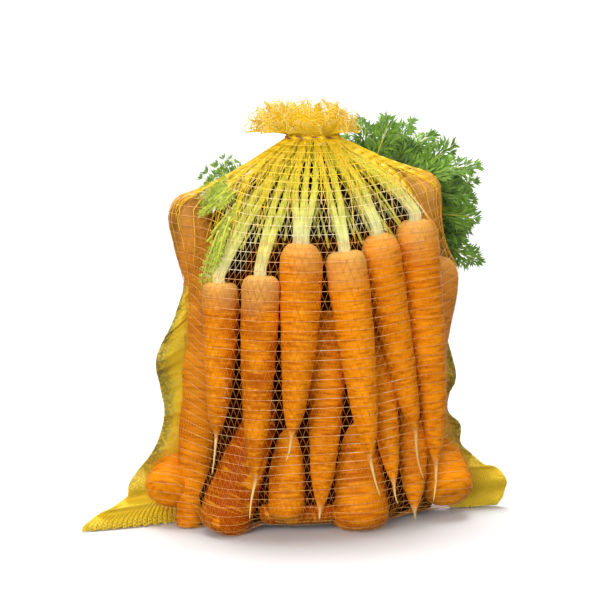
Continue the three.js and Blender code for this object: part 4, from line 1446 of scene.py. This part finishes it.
class CARROT_SACK_OT_leaves(bpy.types.Operator):
    """Grows the leafy tops behind the sack and the sprigs inside the net"""
    bl_idname = "carrot_sack.leaves"
    bl_label = "Add leaves"

    def execute(self, context):
        colours = context.scene.carrot_sack_colours
        leaf = carrot_leaf("fresh_carrot_leaf", colours.leaf_deep_and_shaded, colours.leaf)
        young_leaf = carrot_leaf("young_carrot_leaf", colours.leaf_young, colours.stalk)
        stalk = bpy.data.materials["fresh_leaf_stalk"]
        size = context.scene.carrot_sack_sizes.leaflet_length
        outer, tubes = [], []
        belly = np.sin(math.pi * np.linspace(*STEMS_BELLY, BUNDLE_STEPS))[:, None]
        for number, spray in enumerate(SPRAYS):
            fronds, bundle = spray_fronds(spray, SPRAY_KINDS * number)
            outer += fronds
            for k in range(spray.stems):
                apart = STEMS_APART * np.array((jitter(k, 1), jitter(k, 2), jitter(k, 3)))
                tubes.append(tube_points(bundle + apart * belly, STEM_RADIUS, STEM_SIDES))
        tubes += self.grow("leafy_tops", "carrot_greens", outer, leaf, size)
        keep_tubes("leaf_ribs", "carrot_greens", tubes, 1.0, stalk)
        tubes = [tube_points(path, THIN_STEM, STEM_SIDES) for path in inner_stems()]
        tubes += self.grow("inner_leaves", "net_sack", inner_sprigs(), young_leaf, size)
        keep_tubes("inner_stems", "net_sack", tubes, 1.0, stalk)
        return {"FINISHED"}

    def grow(self, name, node, fronds, material, size):
        """Keeps the leaflets of several fronds as one piece, with painted shade deep inside, and returns
        their ribs.
        """
        blades, tone, ribs = [], [], []
        corners = len(LEAFLET)
        for number, frond in enumerate(fronds):
            leaflets, rib = frond_arrays(frond, number, size)
            blades.append(leaflets)
            spread = jitter(np.arange(len(leaflets)), 7)
            tone.append(np.repeat(FROND_TONE * frond.light ** 2 + LEAFLET_TONE * spread, corners))
            ribs.append(tube_points(rib, RIB_RADIUS, RIB_SIDES))
        blades = np.concatenate(blades)
        faces = (np.arange(len(blades))[:, None, None] * corners + LEAFLET_FACES).reshape(-1, 3).tolist()
        keep(mesh_piece(name, blades, faces, {"tone": np.concatenate(tone)}), node, material)
        return ribs


# The stage: the camera stands where the photo was taken from.
CAMERA_DISTANCE = 1.6
CAMERA_TILT = math.radians(8)
CAMERA_TARGET = np.array((-4.35, 0, 186)) * MM
CAMERA_LENS = 107.5
CAMERA_SENSOR = 36
CAMERA_NEAR = 0.01
FLOOR_SIZE = 40
FLOOR_TONES = ("#E2E2E2", "#E5E5E5")
WHITE = (1, 1, 1, 1)
DOME_RADIUS = 19
DOME_GLOW = 1.05
WORLD_GLOW = (0.06, 0.28)  # from below and from above
HORIZON = (-0.3, 0.3)  # how steeply up the glow changes from one to the other
LIGHTS = (
    # Far soft lights: name, where each stands, its strength and how wide it looks.
    ("overhead", (-0.1, 0.45, 2.0), 3.7, 42),
    ("key", (-0.75, -1.5, 0.5), 2.35, 40),
    ("fill", (1.1, -1.5, 0.3), 1.0, 60),
)


def floor_paper():
    """Pale paper sweep: matt, very slightly uneven, and lit until it is white."""
    material, tree = new_material("pale_paper")
    place = add_node(tree, "TexCoord", output="Object")
    # Patches about 60 mm across.
    patches = add_node(tree, "TexNoise", {"Vector": place, "Scale": 1 / (60 * MM), "Detail": 2.0})
    dim, pale = (opaque(linear(tone)) for tone in FLOOR_TONES)
    final = add_node(tree, "Mix", {"Factor": patches, MIX_A: dim, MIX_B: pale}, MIX_OUT, data_type="RGBA")
    shader = add_node(tree, "BsdfPrincipled", {
        "Base Color": final, "Roughness": 0.9, "Specular IOR Level": 0.0})
    add_node(tree, "OutputMaterial", {"Surface": shader})
    return material


def lit_backdrop():
    """A white backdrop lit from behind: an even glow."""
    material, tree = new_material("lit_white_backdrop")
    glow = add_node(tree, "Emission", {"Color": WHITE, "Strength": DOME_GLOW})
    add_node(tree, "OutputMaterial", {"Surface": glow})
    return material


class CARROT_SACK_OT_stage(bpy.types.Operator):
    """Sets the floor, the lights and the camera"""
    bl_idname = "carrot_sack.stage"
    bl_label = "Set stage"

    def execute(self, context):
        bpy.ops.object.select_all(action="DESELECT")
        bpy.ops.mesh.primitive_plane_add(size=FLOOR_SIZE)
        floor = context.object
        floor.name = "floor"
        floor.data.materials.append(floor_paper())
        floor.visible_diffuse = False
        bpy.ops.object.select_all(action="DESELECT")
        bpy.ops.mesh.primitive_uv_sphere_add(radius=DOME_RADIUS)
        dome = context.object
        dome.name = "backdrop"
        dome.data.materials.append(lit_backdrop())
        dome.visible_diffuse = dome.visible_glossy = dome.visible_transmission = dome.visible_shadow = False
        self.light_world(context)
        for name, place, strength, spread in LIGHTS:
            bpy.ops.object.light_add(type="SUN", location=place, rotation=self.aim(place))
            lamp = context.object
            lamp.name = name
            lamp.data.energy = strength
            lamp.data.angle = math.radians(spread)
        ahead = np.array((0, math.cos(CAMERA_TILT), -math.sin(CAMERA_TILT)))
        bpy.ops.object.camera_add(location=CAMERA_TARGET - CAMERA_DISTANCE * ahead)
        camera = context.object
        camera.name = "photo_angle"
        camera.rotation_euler = (math.pi / 2 - CAMERA_TILT, 0, 0)
        camera.data.lens = CAMERA_LENS
        camera.data.sensor_width = CAMERA_SENSOR
        camera.data.clip_start = CAMERA_NEAR
        context.scene.camera = camera
        context.scene.view_settings.view_transform = "Standard"
        return {"FINISHED"}

    def light_world(self, context):
        """A white room that glows more from above than from below."""
        world = bpy.data.worlds.new("studio")
        context.scene.world = world
        world.use_nodes = True
        tree = world.node_tree
        direction = add_node(tree, "TexCoord", output="Generated")
        steepness = add_node(tree, "SeparateXYZ", {0: direction}, "Z")
        glow = add_node(tree, "MapRange", {
            "Value": steepness, "From Min": HORIZON[0], "From Max": HORIZON[1], "To Min": WORLD_GLOW[0],
            "To Max": WORLD_GLOW[1]})
        background = tree.nodes["Background"]
        background.inputs["Color"].default_value = WHITE
        tree.links.new(glow, background.inputs["Strength"])

    def aim(self, place):
        """The turn of a lamp at a place that shines at the foot of the sack."""
        x, y, z = -np.array(place)
        return math.atan2(math.hypot(x, y), -z), 0, math.atan2(y, x) - math.pi / 2


class CARROT_SACK_PT_panel(bpy.types.Panel):
    """Lists the sack's sizes, colours and operators"""
    bl_idname = "CARROT_SACK_PT_panel"
    bl_label = "Carrot sack"
    bl_space_type = "VIEW_3D"
    bl_region_type = "UI"
    bl_category = "Carrot sack"

    def draw(self, context):
        for group in (context.scene.carrot_sack_sizes, context.scene.carrot_sack_colours):
            for name in group.__annotations__:
                self.layout.prop(group, name)
        for operator in OPERATORS:
            self.layout.operator(operator.bl_idname)


OPERATORS = (
    CARROT_SACK_OT_carrots, CARROT_SACK_OT_stalks, CARROT_SACK_OT_filling, CARROT_SACK_OT_net,
    CARROT_SACK_OT_frill, CARROT_SACK_OT_flaps, CARROT_SACK_OT_tie, CARROT_SACK_OT_leaves,
    CARROT_SACK_OT_stage)
CLASSES = (SackSizes, SackColours, *OPERATORS, CARROT_SACK_PT_panel)


def register():
    """Adds the sack's settings, operators and panel."""
    for kind in CLASSES:
        bpy.utils.register_class(kind)
    bpy.types.Scene.carrot_sack_sizes = PointerProperty(type=SackSizes)
    bpy.types.Scene.carrot_sack_colours = PointerProperty(type=SackColours)


def unregister():
    """Takes the sack's settings, operators and panel away."""
    del bpy.types.Scene.carrot_sack_colours
    del bpy.types.Scene.carrot_sack_sizes
    for kind in reversed(CLASSES):
        bpy.utils.unregister_class(kind)


def main():
    register()
    for operator in OPERATORS:
        group, name = operator.bl_idname.split(".")
        getattr(getattr(bpy.ops, group), name)()


if __name__ == "__main__":
    main()
